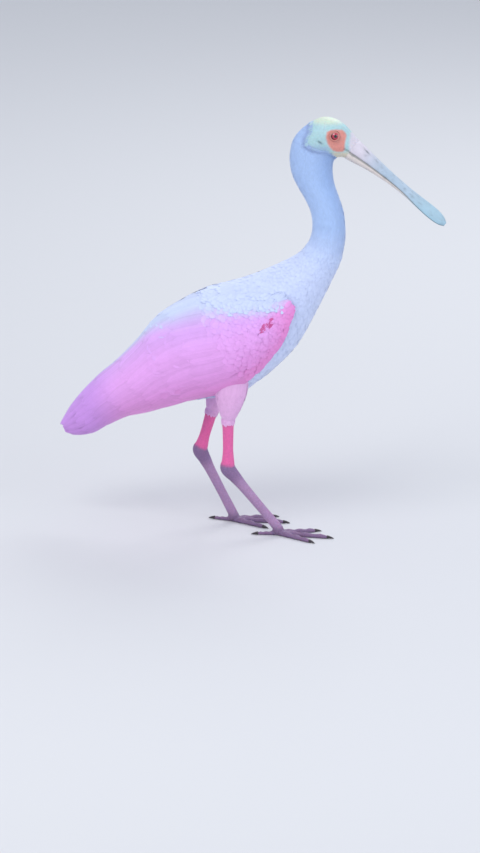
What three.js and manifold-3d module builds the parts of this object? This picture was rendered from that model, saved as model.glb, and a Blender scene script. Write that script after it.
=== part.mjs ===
// Roseate spoonbill standing still, life size, as a museum model.
// Millimetres, +Z up. The bird faces +X and stands on the plane z = 0.
// The origin is on that plane, under the middle of the whole model.

import * as THREE from 'three';
import { mergeVertices } from 'three/addons/utils/BufferGeometryUtils.js';
import Module from 'manifold-3d';

const wasm = await Module();
wasm.setup();

// Driving sizes
const GAP = 0.34;               // clearance between neighbouring parts
const RING_SIDES = 24;          // facets round the body
const RIGHT = -1;               // the side nearer the viewer, -Y
const LEFT = 1;

const EYE = { x: 159.3, y: 15.4, z: 531, radius: 7 };
const LID = { ring: 6.3, thick: 1.5 };
const EAR = { x: 141, z: 522.7, length: 7, height: 2.2, depth: 3 };
const GAPE = { x: 171.5, z: 518.8, length: 16, height: 1.1 };
const NOSTRIL = { x: 198.5, y: 5.6, z: 508.6, half: [4.2, 2, 1.1] };
const BILL_DIP = 38;            // degrees that the bill points below the level at the face

const TOE_LENGTH = { middle: 66, outer: 54, inner: 50, hind: 27 };
const TOE_SPREAD = { middle: 3, outer: 29, inner: -27, hind: 170 };
const TOE_RADIUS = 4.3;
const CLAW_LENGTH = 8;

const WING_THICK = 4.5;
const VANE_THICK = 1;           // of a feather at its root, thinning to the tip
const VANE_TIP_THICK = 0.7;
const NEIGHBOUR_STEP = 1.3;     // every other feather of a row lies this much higher
const VANE_SEED = 11;
const CORE_BACK = 5;            // how far the wing's core stays inside the feathers' edge
const CORE_START = 0.75;        // section number where the core begins, behind it only feathers
const CORE_LOW = 3.2;           // how far the core's face lies under the feathers' faces
const CORE_STEPS = [12, 5];
const WING_EDGE_THICK = 3.2;
const WING_RECESS = 8;          // how far outside the wing the torso is cleared

const MIDDLE_X = 46.9;          // middle of the finished model in the drawing's own x

// Colours read from the bird
const COLOUR = {
  white: 0xe4eaf2,
  neck: 0xd3e0f0,
  pink: 0xe3a0dc,
  rose: 0xd98ad4,
  buff: 0xe8b58a,
  skin: 0xbcd2c8,
  bill: 0xa9bdbd,
  billLower: 0xc3c6c8,
  leg: 0xd8608f,
  joint: 0x83628f,
  claw: 0x3a3236,
  iris: 0xb03a4a,
};

// Cross sections of the body from rump to bill, each given by its point on the back,
// its point on the belly or throat, and half its width: [back x, z, belly x, z, half width]
const BODY_SECTIONS = [
  [-122, 194, -111, 173, 10],
  [-105, 221, -84, 163, 27],
  [-78, 254, -50, 167, 40],
  [-50, 282, -15, 173, 50],
  [-20, 306, 20, 180, 55],
  [6, 323, 55, 195, 57],
  [33, 333, 86, 222, 55.5],
  [59, 344, 110, 250, 50],
  [83, 356, 131, 289, 42],
  [104, 368, 151, 330, 33],
  [117, 380, 165, 362, 26.5],
  [125, 396, 170.3, 388, 23],
  [127, 411, 170, 411, 21.5],
  [124.8, 426, 167.5, 429, 20.5],
  [118, 441.5, 161.5, 447, 20.2],
  [108.6, 457, 156.5, 461, 20.6],
  [101, 472.5, 154, 474, 21.4],
  [97.5, 488, 153.5, 485, 22],
  [97.5, 503, 155, 493, 22.3],
  [101.5, 520, 157.5, 497.5, 22.6],
  [111.5, 533.5, 160, 499.5, 22.8],
  [124.5, 543.8, 163, 500, 22.8],
  [139, 550.5, 165.5, 500, 22.2],
  [152, 550.2, 167.5, 499.8, 20.8],
  [164.5, 544.8, 169.5, 499.2, 18.6],
  [176.5, 534, 171, 498.4, 16],
  [188, 521.5, 172, 497.2, 14],
];

// Where the body is parted into nodes, as section numbers of the list above
const BODY_PARTS = [
  { name: 'torso', from: 0, to: 9, rings: 14, colour: COLOUR.white },
  { name: 'neck_lower', from: 9, to: 12, rings: 5, colour: COLOUR.neck },
  { name: 'neck_middle', from: 12, to: 15, rings: 5, colour: COLOUR.neck },
  { name: 'neck_upper', from: 15, to: 18, rings: 5, colour: COLOUR.neck },
  { name: 'head', from: 18, to: 26, rings: 15, colour: COLOUR.skin },
];

// Envelope of the folded wings, from the wing tips to the shoulder, same columns,
// then the wing's upper and lower edge as angles in degrees from the ridge of the back
const WING_SECTIONS = [
  [-206, 124, -201, 113.5, 4.5, 10, 170],
  [-190, 152, -183, 110, 13, 5, 172],
  [-170, 177, -160, 114.5, 21, 4, 170],
  [-150.5, 197, -137, 128.5, 28, 4, 168],
  [-129, 216, -112, 141, 35, 4, 162],
  [-104, 243, -84, 148.5, 44, 5, 156],
  [-78, 275, -50, 158.5, 51, 9, 152],
  [-50, 296, -15, 169, 57, 20, 147],
  [-20, 313.5, 20, 177, 61, 33, 145],
  [6, 324.5, 55, 193, 62.5, 45, 143],
  [33, 334, 86, 222, 61.5, 52, 140],
  [59, 344, 110, 250, 56.5, 62, 131],
  [83, 356, 131, 289, 48, 92, 112],
];

// Bill from face to tip: [x, z, half width, half thickness] along the line of the mouth
const BILL_SECTIONS = [
  [180, 509.4, 14, 14.2],
  [189, 503.4, 13, 12.6],
  [204, 493, 11.6, 9.7],
  [228, 475.4, 10.8, 6.4],
  [245, 462.3, 12, 5.2],
  [256, 453.6, 15.5, 4.4],
  [267, 444.7, 20, 3.7],
  [278, 436, 23, 3.2],
  [287.5, 428.5, 22.3, 2.9],
  [294.5, 422.6, 17, 2.4],
  [299.2, 418.4, 7, 1.6],
];

// Each leg: feathered thigh, bare shank, heel joint and shank foot
const LEGS = [
  {
    side: RIGHT,
    name: 'right',
    hip: [29, -29, 214],
    bareTop: [22.3, -24.5, 149],
    heel: [21.7, -22, 84.5],
    toeJoint: [87.7, -23, 9.5],
  },
  {
    side: LEFT,
    name: 'left',
    hip: [14, 29, 214],
    bareTop: [-9.6, 24.5, 146],
    heel: [-24.3, 22, 94.3],
    toeJoint: [18.7, 26, 9.5],
  },
];

// Outlines of a flight feather and of a covert: [share of its length, share of its width]
const FLIGHT_SHAPE = [[0, 0.3], [0.14, 0.7], [0.55, 1], [0.86, 0.86], [1, 0.32]];
const COVERT_SHAPE = [[0, 0.3], [0.2, 0.75], [0.7, 1], [1, 0.42]];

// Feathers of a folded wing in tiers, front to rear. Each tier is a row across the wing:
// sections of its roots and tips (first and last feather), shares of the way from the wing's
// upper to its lower edge (first and last), and half width of a feather
const COVERT = { outline: COVERT_SHAPE, raise: 0 };
const FLIGHT = { outline: FLIGHT_SHAPE, raise: 0.2 };
const WING_TIERS = [
  { count: 4, roots: [11.6, 11.5], tips: [10, 9.9], across: [0.14, 0.86], half: 13, ...COVERT },
  { count: 5, roots: [10.2, 10.1], tips: [8.5, 8.4], across: [0.09, 0.92], half: 15, ...COVERT },
  { count: 5, roots: [8.7, 8.6], tips: [6.8, 6.9], across: [0.1, 0.95], half: 16, ...COVERT },
  { count: 5, roots: [7, 7], tips: [4.4, 5.2], across: [0.11, 0.965], half: 16, ...FLIGHT },
  { count: 5, roots: [5.3, 5.3], tips: [2.4, 3], across: [0.12, 0.96], half: 14, ...FLIGHT },
  { count: 4, roots: [3.6, 3.6], tips: [1, 1.2], across: [0.16, 0.92], half: 13, ...FLIGHT },
  { count: 3, roots: [2.2, 2.2], tips: [0.2, 0.02], across: [0.25, 0.82], half: 9.5, ...FLIGHT },
];

// Tail feathers: pairs beside the middle one, all from one root
const TAIL = {
  pairs: 3,
  root: { x: -106, z: 186 },
  slope: 29,                    // degrees below the level
  length: 84,
  shorter: 0.035,               // share of its length that each pair loses
  fan: 2.5,                     // degrees between neighbours
  spacing: 1.9,
  layer: 1.05,
  droop: 4,
  half: 7,
  stump: [24, 8, 4.5],
};

// The stations of a leg at which its parts meet
const LEG_MARKS = { hip: 0, bare: 4, heel: 8, foot: 12, end: 13 };

const radians = THREE.MathUtils.degToRad;
const vec = (x, y, z) => new THREE.Vector3(x, y, z);

// Closed mesh from points and triangles, turned so that its faces point out
function closedGeometry(points, triangles) {
  let volume = 0;
  for (let i = 0; i < triangles.length; i += 3) {
    const [a, b, c] = [points[triangles[i]], points[triangles[i + 1]], points[triangles[i + 2]]];
    volume += a.dot(b.clone().cross(c));
  }
  const order = volume < 0 ? [0, 2, 1] : [0, 1, 2];
  const index = [];
  for (let i = 0; i < triangles.length; i += 3) {
    order.forEach((k) => index.push(triangles[i + k]));
  }
  const geometry = new THREE.BufferGeometry().setFromPoints(points);
  geometry.setIndex(index);
  return geometry;
}

// Closed loft through rings that all have the same number of points
function loft(rings) {
  const sides = rings[0].length;
  const points = rings.flat();
  const triangles = [];
  for (let k = 0; k + 1 < rings.length; k += 1) {
    for (let j = 0; j < sides; j += 1) {
      const a = k * sides + j;
      const b = k * sides + (j + 1) % sides;
      triangles.push(a, b, b + sides, a, b + sides, a + sides);
    }
  }
  [0, rings.length - 1].forEach((k, end) => {
    const middle = vec(0, 0, 0);
    rings[k].forEach((p) => middle.add(p));
    points.push(middle.divideScalar(sides));
    const hub = points.length - 1;
    for (let j = 0; j < sides; j += 1) {
      const a = k * sides + j;
      const b = k * sides + (j + 1) % sides;
      if (end === 0) triangles.push(b, a, hub);
      else triangles.push(a, b, hub);
    }
  });
  return closedGeometry(points, triangles);
}

// Booleans
function toSolid(geometry) {
  const bare = geometry.clone();
  bare.deleteAttribute('normal');
  bare.deleteAttribute('uv');
  const merged = mergeVertices(bare, 1e-4);
  const mesh = new wasm.Mesh({
    numProp: 3,
    vertProperties: new Float32Array(merged.attributes.position.array),
    triVerts: new Uint32Array(merged.index.array),
  });
  return new wasm.Manifold(mesh);
}

function fromSolid(solid) {
  const bodies = solid.decompose().sort((a, b) => b.volume() - a.volume());
  const mesh = bodies[0].getMesh();
  const geometry = new THREE.BufferGeometry();
  geometry.setAttribute('position', new THREE.BufferAttribute(new Float32Array(mesh.vertProperties), 3));
  geometry.setIndex(new THREE.BufferAttribute(new Uint32Array(mesh.triVerts), 1));
  return geometry;
}

const joined = (solids) => solids.reduce((all, next) => all.add(next));

// A row of sections read as smooth curves; at(t) takes a section number, whole or not
function sectionCurve(rows) {
  const smooth = (points) => new THREE.CatmullRomCurve3(points, false, 'catmullrom', 0.5);
  const backs = smooth(rows.map(([x, z, , , width]) => vec(x, width, z)));
  const bellies = smooth(rows.map(([, , x, z]) => vec(x, 0, z)));
  const last = rows.length - 1;
  return {
    last,
    at(t) {
      const u = THREE.MathUtils.clamp(t / last, 0, 1);
      const back = backs.getPoint(u);
      const belly = bellies.getPoint(u);
      const halfWidth = back.y;
      back.y = 0;
      const centre = back.clone().add(belly).multiplyScalar(0.5);
      const up = back.clone().sub(belly);
      const halfHeight = up.length() / 2;
      up.normalize();
      return { centre, up, halfHeight, halfWidth };
    },
  };
}

// Point of a section at an angle from the ridge of the back, stood off the surface by `out`
function sectionPoint(section, side, angle, out = 0) {
  const cos = Math.cos(angle);
  const sin = Math.sin(angle);
  const normal = new THREE.Vector2(cos / section.halfHeight, sin / section.halfWidth).normalize();
  const rise = section.halfHeight * cos + out * normal.x;
  const away = section.halfWidth * sin + out * normal.y;
  return section.centre.clone().addScaledVector(section.up, rise).add(vec(0, side * away, 0));
}

const body = sectionCurve(BODY_SECTIONS);
const wingEnvelope = sectionCurve(WING_SECTIONS);

// Direction in which the body runs on past a section
function onward(curve, t) {
  const { up } = curve.at(t);
  return vec(up.z, 0, -up.x);
}

function bodyRing(t, shift) {
  const section = body.at(t);
  const push = onward(body, t).multiplyScalar(shift);
  const ring = [];
  for (let j = 0; j < RING_SIDES; j += 1) {
    ring.push(sectionPoint(section, RIGHT, (j / RING_SIDES) * 2 * Math.PI).add(push));
  }
  return ring;
}

function bodyPart({ from, to, rings }) {
  const list = [];
  for (let k = 0; k <= rings; k += 1) {
    const atStart = k === 0 && from > 0;
    const atEnd = k === rings;
    const shift = (atStart ? GAP / 2 : 0) - (atEnd ? GAP / 2 : 0);
    list.push(bodyRing(from + ((to - from) * k) / rings, shift));
  }
  return loft(list);
}

// Wing: a curved plate that lies round the body's side, thin at its edges
function columnOf(rows, column, t) {
  const k = Math.min(Math.floor(t), rows.length - 2);
  return THREE.MathUtils.lerp(rows[k][column], rows[k + 1][column], t - k);
}

function wingPlate(side, { face, grow = 0, back = 0, start = 0, steps = [20, 8], sheet = false }) {
  const [lengthSteps, aroundSteps] = steps;
  const last = WING_SECTIONS.length - 1;
  const rings = [];
  for (let i = 0; i <= lengthSteps; i += 1) {
    const t = start + (i / lengthSteps) * (last - start);
    const section = wingEnvelope.at(t);
    const reach = (grow - back) / section.halfHeight;
    const top = radians(columnOf(WING_SECTIONS, 5, t)) - Math.max(reach, 0);
    const low = radians(columnOf(WING_SECTIONS, 6, t)) + reach;
    const endFade = Math.min(1, 1.6 * Math.sin((Math.PI * (i + 0.6)) / (lengthSteps + 1)));
    const outer = [];
    const inner = [];
    for (let j = 0; j <= aroundSteps; j += 1) {
      const s = j / aroundSteps;
      const bulge = WING_THICK * endFade * Math.sqrt(Math.sin(Math.PI * s));
      const depth = sheet ? 0 : Math.max(WING_EDGE_THICK, bulge);
      const angle = THREE.MathUtils.lerp(top, low, s);
      outer.push(sectionPoint(section, side, angle, face));
      inner.push(sectionPoint(section, side, angle, -CORE_LOW - depth - grow));
    }
    rings.push([...outer, ...inner.reverse()]);
  }
  return loft(rings);
}

// Even numbers between 0 and 1 that are the same on every run
function seededRandom(seed) {
  let state = seed;
  return () => {
    state = (state * 16807) % 2147483647;
    return state / 2147483647;
  };
}

// One feather vane: a thin closed blade through stations from root to tip, each
// { centre, up, across, half, thick, roll }, a shallow ridge along its middle
function blade(stations) {
  return loft(stations.map(({ centre, up, across, half, thick }) => {
    const spot = (side, level) => centre.clone().addScaledVector(across, half * side)
      .addScaledVector(up, level);
    return [spot(-1, 0), spot(1, 0), spot(1, -thick), spot(-1, -thick)];
  }));
}

function wingVane(side, root, tip, half, { outline, raise }) {
  const [, [lifted]] = outline;
  const spotAt = (s, out) => {
    const t = THREE.MathUtils.lerp(root.t, tip.t, s);
    const angle = THREE.MathUtils.lerp(root.angle, tip.angle, s);
    return sectionPoint(wingEnvelope.at(t), side, angle, out);
  };
  return blade(outline.map(([s, share]) => {
    const level = s === 0 ? -CORE_LOW - 1.8 : THREE.MathUtils.mapLinear(s, lifted, 1, -1.9, raise);
    const centre = spotAt(s, level);
    const up = spotAt(s, level + 1).sub(centre).normalize();
    const along = spotAt(Math.min(s + 0.02, 1), level).sub(spotAt(Math.max(s - 0.02, 0), level));
    const across = up.clone().cross(along).normalize().multiplyScalar(side);
    const thick = THREE.MathUtils.lerp(VANE_THICK, VANE_TIP_THICK, s);
    return { centre, up, across, half: half * share, thick };
  }));
}

function wingVanes(side) {
  const random = seededRandom(VANE_SEED);
  const vanes = [];
  WING_TIERS.forEach(({ count, roots, tips, across, half, ...shape }) => {
    for (let k = 0; k < count; k += 1) {
      const s = count > 1 ? k / (count - 1) : 0.5;
      const place = THREE.MathUtils.lerp(across[0], across[1], s);
      const angleAt = (t, share) => radians(THREE.MathUtils.lerp(
        columnOf(WING_SECTIONS, 5, t), columnOf(WING_SECTIONS, 6, t), share));
      const rootT = THREE.MathUtils.lerp(roots[0], roots[1], s);
      const tipT = Math.max(0.02, THREE.MathUtils.lerp(tips[0], tips[1], s) + (random() - 0.5) * 0.16);
      const lean = (random() - 0.5) * 0.015;
      const root = { t: rootT, angle: angleAt(rootT, place * 0.94 + 0.02) };
      const tip = { t: tipT, angle: angleAt(tipT, place + lean) };
      const raise = shape.raise + (k % 2) * NEIGHBOUR_STEP;
      const width = half * (0.96 + 0.08 * random());
      vanes.push(toSolid(wingVane(side, root, tip, width, { ...shape, raise })));
    }
  });
  return vanes;
}

// The wing clear of the other wing at the middle plane
function wingSolid(side) {
  const core = toSolid(
    wingPlate(side, { face: -CORE_LOW, back: CORE_BACK, start: CORE_START, steps: CORE_STEPS }),
  );
  return joined([core, ...wingVanes(side)]).trimByPlane([0, side, 0], GAP / 2);
}

// Tail: feathers in a narrow folded fan between the wings, the middle ones on top
function tailSolid() {
  const slope = radians(TAIL.slope);
  const along = vec(-Math.cos(slope), 0, -Math.sin(slope));
  const up = vec(-Math.sin(slope), 0, Math.cos(slope));
  const vanes = [];
  for (let k = -TAIL.pairs; k <= TAIL.pairs; k += 1) {
    const out = Math.abs(k);
    const fan = radians(TAIL.fan * k);
    const heading = along.clone().multiplyScalar(Math.cos(fan)).add(vec(0, Math.sin(fan), 0));
    const across = up.clone().cross(heading).normalize();
    const length = TAIL.length * (1 - TAIL.shorter * out);
    const start = vec(TAIL.root.x, k * TAIL.spacing, TAIL.root.z).addScaledVector(up, -TAIL.layer * out);
    vanes.push(toSolid(blade(FLIGHT_SHAPE.map(([s, share]) => ({
      centre: start.clone().addScaledVector(heading, length * s).addScaledVector(up, -TAIL.droop * s * s),
      up,
      across,
      half: TAIL.half * share,
      thick: VANE_TIP_THICK,
    })))));
  }
  const [, , stumpHeight] = TAIL.stump;
  const stump = new THREE.SphereGeometry(1, 12, 8);
  stump.scale(...TAIL.stump);
  stump.rotateY(-slope);
  stump.translate(TAIL.root.x - stumpHeight, 0, TAIL.root.z - 0.8 * stumpHeight);
  return joined([toSolid(stump), ...vanes]);
}

// Limb: rings along a path, each [x, y, z, half width fore and aft, half width across]
function limbRing(stations, k, sides, shift = 0) {
  const here = vec(...stations[k]);
  const before = vec(...stations[Math.max(k - 1, 0)]);
  const after = vec(...stations[Math.min(k + 1, stations.length - 1)]);
  const along = after.clone().sub(here).normalize().add(here.clone().sub(before).normalize()).normalize();
  const across = vec(0, 1, 0).addScaledVector(along, -along.y).normalize();
  const fore = across.clone().cross(along).normalize();
  const [, , , halfFore, halfAcross] = stations[k];
  const ring = [];
  for (let j = 0; j < sides; j += 1) {
    const angle = ((j + 0.5) / sides) * 2 * Math.PI;
    const spot = here.clone().addScaledVector(fore, halfFore * Math.cos(angle));
    spot.addScaledVector(across, halfAcross * Math.sin(angle)).addScaledVector(along, shift);
    ring.push(spot);
  }
  return ring;
}

function limbPart(stations, from, to, sides) {
  const rings = [];
  for (let k = from; k <= to; k += 1) {
    const shift = (k === from ? GAP / 2 : 0) - (k === to ? GAP / 2 : 0);
    rings.push(limbRing(stations, k, sides, shift));
  }
  return loft(rings);
}

// Stations down one leg from hip to toe joint
function legStations({ hip, bareTop, heel, toeJoint }) {
  const between = (a, b, s) => a.map((value, i) => THREE.MathUtils.lerp(value, b[i], s));
  const shankStep = (s) => between(bareTop, heel, s);
  const footStep = (s) => between(heel, toeJoint, s);
  return [
    [...hip, 24, 17],
    [...between(hip, bareTop, 0.4), 21.5, 16],
    [...between(hip, bareTop, 0.68), 16.5, 13.5],
    [...between(hip, bareTop, 0.88), 11.5, 10.5],
    [...bareTop, 8.2, 8],
    [...shankStep(0.3), 7.2, 7],
    [...shankStep(0.62), 7, 6.8],
    [...shankStep(0.85), 8.4, 7.6],
    [...heel, 10, 8.4],
    [...footStep(0.14), 8.2, 7.4],
    [...footStep(0.32), 6.7, 6.2],
    [...footStep(0.68), 6.1, 5.6],
    [...footStep(0.93), 6.4, 6],
    [...footStep(1.02), 6.2, 6.2],
  ];
}

// Toe: a tapering tube with swollen joints that lies flat on the ground
function toe(start, heading, length, radius) {
  const steps = [[0, 1], [0.22, 0.84], [0.36, 0.95], [0.55, 0.74], [0.68, 0.84], [1, 0.5]];
  const along = vec(Math.cos(heading), Math.sin(heading), 0);
  const across = vec(-along.y, along.x, 0);
  const sides = 8;
  return loft(steps.map(([s, scale]) => {
    const half = radius * scale;
    const ring = [];
    for (let j = 0; j < sides; j += 1) {
      const angle = ((j + 0.5) / sides) * 2 * Math.PI;
      const spot = start.clone().addScaledVector(along, length * s);
      spot.addScaledVector(across, half * Math.cos(angle));
      spot.z = Math.max(0, half * 0.78 + half * Math.sin(angle));
      ring.push(spot);
    }
    return ring;
  }));
}

function toeHeading(side, spread) {
  return radians(spread) * side;
}

// Web between two toes, reaching part of the way out
function web(start, headings, reach) {
  const outline = [start.clone()];
  const steps = 4;
  for (let k = 0; k <= steps; k += 1) {
    const s = k / steps;
    const angle = THREE.MathUtils.lerp(headings[0], headings[1], s);
    const far = reach * (1 - 0.42 * Math.sin(Math.PI * s));
    outline.push(start.clone().add(vec(far * Math.cos(angle), far * Math.sin(angle), 0)));
  }
  const level = (z) => outline.map((p) => vec(p.x, p.y, z));
  return loft([level(0.4), level(2)]);
}

function foot(leg, stations) {
  const [x, y] = leg.toeJoint;
  const start = vec(x, y, 0);
  const heading = (name) => toeHeading(leg.side, TOE_SPREAD[name]);
  const toes = Object.keys(TOE_LENGTH).map((name) => {
    const radius = name === 'hind' ? TOE_RADIUS * 0.8 : TOE_RADIUS;
    return toSolid(toe(start, heading(name), TOE_LENGTH[name], radius));
  });
  const webs = [['inner', 'middle'], ['middle', 'outer']].map((pair) => (
    toSolid(web(start, pair.map(heading), TOE_LENGTH.inner * 0.62))
  ));
  const knuckle = new THREE.SphereGeometry(7.4, 8, 6);
  knuckle.rotateX(Math.PI / 2);
  knuckle.translate(x, y, 7.6);
  const { foot: top, end } = LEG_MARKS;
  const stub = loft([limbRing(stations, top, 12, GAP / 2), limbRing(stations, end, 12)]);
  return joined([toSolid(knuckle), toSolid(stub), ...toes, ...webs]).trimByPlane([0, 0, 1], 0);
}

function claw(leg, name) {
  const heading = toeHeading(leg.side, TOE_SPREAD[name]);
  const along = vec(Math.cos(heading), Math.sin(heading), 0);
  const across = vec(-along.y, along.x, 0);
  const start = vec(leg.toeJoint[0], leg.toeJoint[1], 0).addScaledVector(along, TOE_LENGTH[name] + GAP);
  const steps = [[0, 1.9, 2.3], [0.45, 1.5, 2.2], [0.8, 0.85, 1.6], [1, 0.3, 0.7]];
  return loft(steps.map(([s, half, height]) => {
    const ring = [];
    for (let j = 0; j < 6; j += 1) {
      const angle = ((j + 0.5) / 6) * 2 * Math.PI;
      const spot = start.clone().addScaledVector(along, CLAW_LENGTH * s);
      spot.addScaledVector(across, half * Math.cos(angle));
      spot.z = Math.max(0, height + half * Math.sin(angle));
      ring.push(spot);
    }
    return ring;
  }));
}

// Bill: two halves that part along the line of the mouth
const UPPER = 1;
const LOWER = -1;

function billHalf(which) {
  const sides = 9;
  const line = BILL_SECTIONS.map(([x, z]) => vec(x, 0, z));
  const path = new THREE.CatmullRomCurve3(line, false, 'catmullrom', 0.5);
  const sizes = new THREE.CatmullRomCurve3(
    BILL_SECTIONS.map(([, , w, t]) => vec(w, t, 0)), false, 'catmullrom', 0.5);
  const steps = 17;
  const rings = [];
  for (let k = 0; k <= steps; k += 1) {
    const u = k / steps;
    const centre = path.getPoint(u);
    const { x: half, y: thick } = sizes.getPoint(u);
    const firstUp = vec(0.55, 0, 0.835);
    const along = path.getTangent(u);
    const up = k === 0 ? firstUp : vec(-along.z, 0, along.x);
    const onwardShift = k === 0 ? GAP : 0;
    const ring = [];
    for (let j = 0; j <= sides; j += 1) {
      const angle = (j / sides) * Math.PI;
      const spot = centre.clone().addScaledVector(up, which * (GAP / 2 + thick * Math.sin(angle)));
      spot.add(vec(0, half * Math.cos(angle), 0)).addScaledVector(along, onwardShift);
      ring.push(spot);
    }
    rings.push(ring);
  }
  return loft(rings);
}

function ball(x, y, z, radius, stretch = [1, 1, 1]) {
  const geometry = new THREE.SphereGeometry(radius, 14, 10);
  geometry.scale(...stretch);
  geometry.translate(x, y, z);
  return geometry;
}

function nostril(side) {
  const slit = new THREE.SphereGeometry(1, 10, 8);
  slit.scale(...NOSTRIL.half);
  slit.rotateY(radians(BILL_DIP));
  slit.translate(NOSTRIL.x, side * NOSTRIL.y, NOSTRIL.z);
  return slit;
}

// Head: eye sockets, lids, ear slits and the corners of the mouth
function headSolid(base) {
  let head = toSolid(base);
  [RIGHT, LEFT].forEach((side) => {
    const lid = new THREE.TorusGeometry(LID.ring, LID.thick, 5, 14);
    lid.rotateX(Math.PI / 2);
    lid.rotateZ(radians(-13) * side);
    lid.translate(EYE.x, side * (EYE.y + 4.4), EYE.z);
    head = head.add(toSolid(lid));
    head = head.subtract(toSolid(ball(EYE.x, side * EYE.y, EYE.z, EYE.radius + GAP)));
    const slit = new THREE.SphereGeometry(1, 8, 6);
    slit.scale(EAR.length / 2, EAR.depth, EAR.height / 2);
    slit.rotateY(radians(32));
    slit.translate(EAR.x, side * 22.2, EAR.z);
    head = head.subtract(toSolid(slit));
    const corner = new THREE.BoxGeometry(GAPE.length, 7, GAPE.height);
    corner.rotateY(radians(BILL_DIP));
    corner.translate(GAPE.x + 7, side * 18.2, GAPE.z - 5.5);
    head = head.subtract(toSolid(corner));
  });
  return head;
}

// The finished bird
const bird = new THREE.Group();
bird.position.x = -MIDDLE_X;

function addPart(name, geometry, colour, roughness = 0.7) {
  const material = new THREE.MeshStandardMaterial({ color: colour, roughness, metalness: 0 });
  const mesh = new THREE.Mesh(geometry, material);
  mesh.name = name;
  bird.add(mesh);
}

// The room that a wing takes in the torso: its core and the feathers round it
const CORE_SHAPE = { back: CORE_BACK, start: CORE_START, steps: CORE_STEPS };
const wingHollow = [RIGHT, LEFT].map((side) => joined([
  toSolid(wingPlate(side, { ...CORE_SHAPE, face: 0, grow: GAP })),
  toSolid(wingPlate(side, {
      face: WING_RECESS, grow: 1.8, back: -WING_RECESS, steps: CORE_STEPS, sheet: true,
    })),
]));
const wings = [RIGHT, LEFT].map(wingSolid);

// Cuts a solid clear of a neighbour on every side
function clearOf(solid, neighbour) {
  const away = [[1, 0, 0], [-1, 0, 0], [0, 1, 0], [0, -1, 0], [0, 0, 1], [0, 0, -1]];
  return away.reduce(
    (left, step) => left.subtract(neighbour.translate(step.map((value) => value * GAP))), solid);
}

const torsoWhole = toSolid(bodyPart(BODY_PARTS[0]));

BODY_PARTS.forEach((part) => {
  const plain = bodyPart(part);
  if (part.name === 'torso') {
    const hollowed = torsoWhole.subtract(wingHollow[0]).subtract(wingHollow[1]);
    addPart(part.name, fromSolid(wings.reduce(clearOf, hollowed)), part.colour);
  } else if (part.name === 'head') {
    addPart(part.name, fromSolid(headSolid(plain)), part.colour);
  } else {
    addPart(part.name, plain, part.colour);
  }
});

[RIGHT, LEFT].forEach((side, i) => {
  const name = side === RIGHT ? 'right' : 'left';
  addPart(`wing_${name}`, fromSolid(wings[i]), COLOUR.pink);
  addPart(`eye_${name}`, ball(EYE.x, side * EYE.y, EYE.z, EYE.radius), COLOUR.iris, 0.2);
});

const upperBill = [RIGHT, LEFT].reduce(
  (solid, side) => solid.subtract(toSolid(nostril(side))), toSolid(billHalf(UPPER)));
addPart('bill_upper', fromSolid(upperBill), COLOUR.bill, 0.45);
addPart('bill_lower', billHalf(LOWER), COLOUR.billLower, 0.45);

// The torso as the thighs meet it, a clearance larger all round
function grownTorso() {
  const rings = [];
  const steps = 18;
  for (let k = 0; k <= steps; k += 1) {
    const section = body.at((BODY_PARTS[0].to * k) / steps);
    const ring = [];
    for (let j = 0; j < RING_SIDES; j += 1) {
      ring.push(sectionPoint(section, RIGHT, (j / RING_SIDES) * 2 * Math.PI, GAP));
    }
    rings.push(ring);
  }
  return toSolid(loft(rings));
}

const torsoGrown = grownTorso();
addPart('tail', fromSolid(wings.reduce(clearOf, tailSolid().subtract(torsoGrown))), COLOUR.buff);

LEGS.forEach((leg) => {
  const stations = legStations(leg);
  const thighWhole = toSolid(limbPart(stations, LEG_MARKS.hip, LEG_MARKS.bare, 14));
  const clearThigh = thighWhole.subtract(torsoGrown).subtract(wingHollow[leg.side === RIGHT ? 0 : 1]);
  const thigh = wings.reduce(clearOf, clearThigh);
  addPart(`thigh_${leg.name}`, fromSolid(thigh), COLOUR.pink);
  addPart(`shank_${leg.name}`, limbPart(stations, LEG_MARKS.bare, LEG_MARKS.heel, 12), COLOUR.leg, 0.6);
  addPart(`tarsus_${leg.name}`, limbPart(stations, LEG_MARKS.heel, LEG_MARKS.foot, 12), COLOUR.joint, 0.6);
  addPart(`foot_${leg.name}`, fromSolid(foot(leg, stations)), COLOUR.joint, 0.6);
  Object.keys(TOE_LENGTH).forEach((name) => {
    addPart(`claw_${name}_${leg.name}`, claw(leg, name), COLOUR.claw, 0.4);
  });
});

export default bird;
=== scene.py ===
"""Roseate spoonbill: skin, plumage, bill, eyes, claws and a plain stage round the frame."""

import math

import bmesh
import bpy
import numpy as np
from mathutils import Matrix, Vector, kdtree


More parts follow.
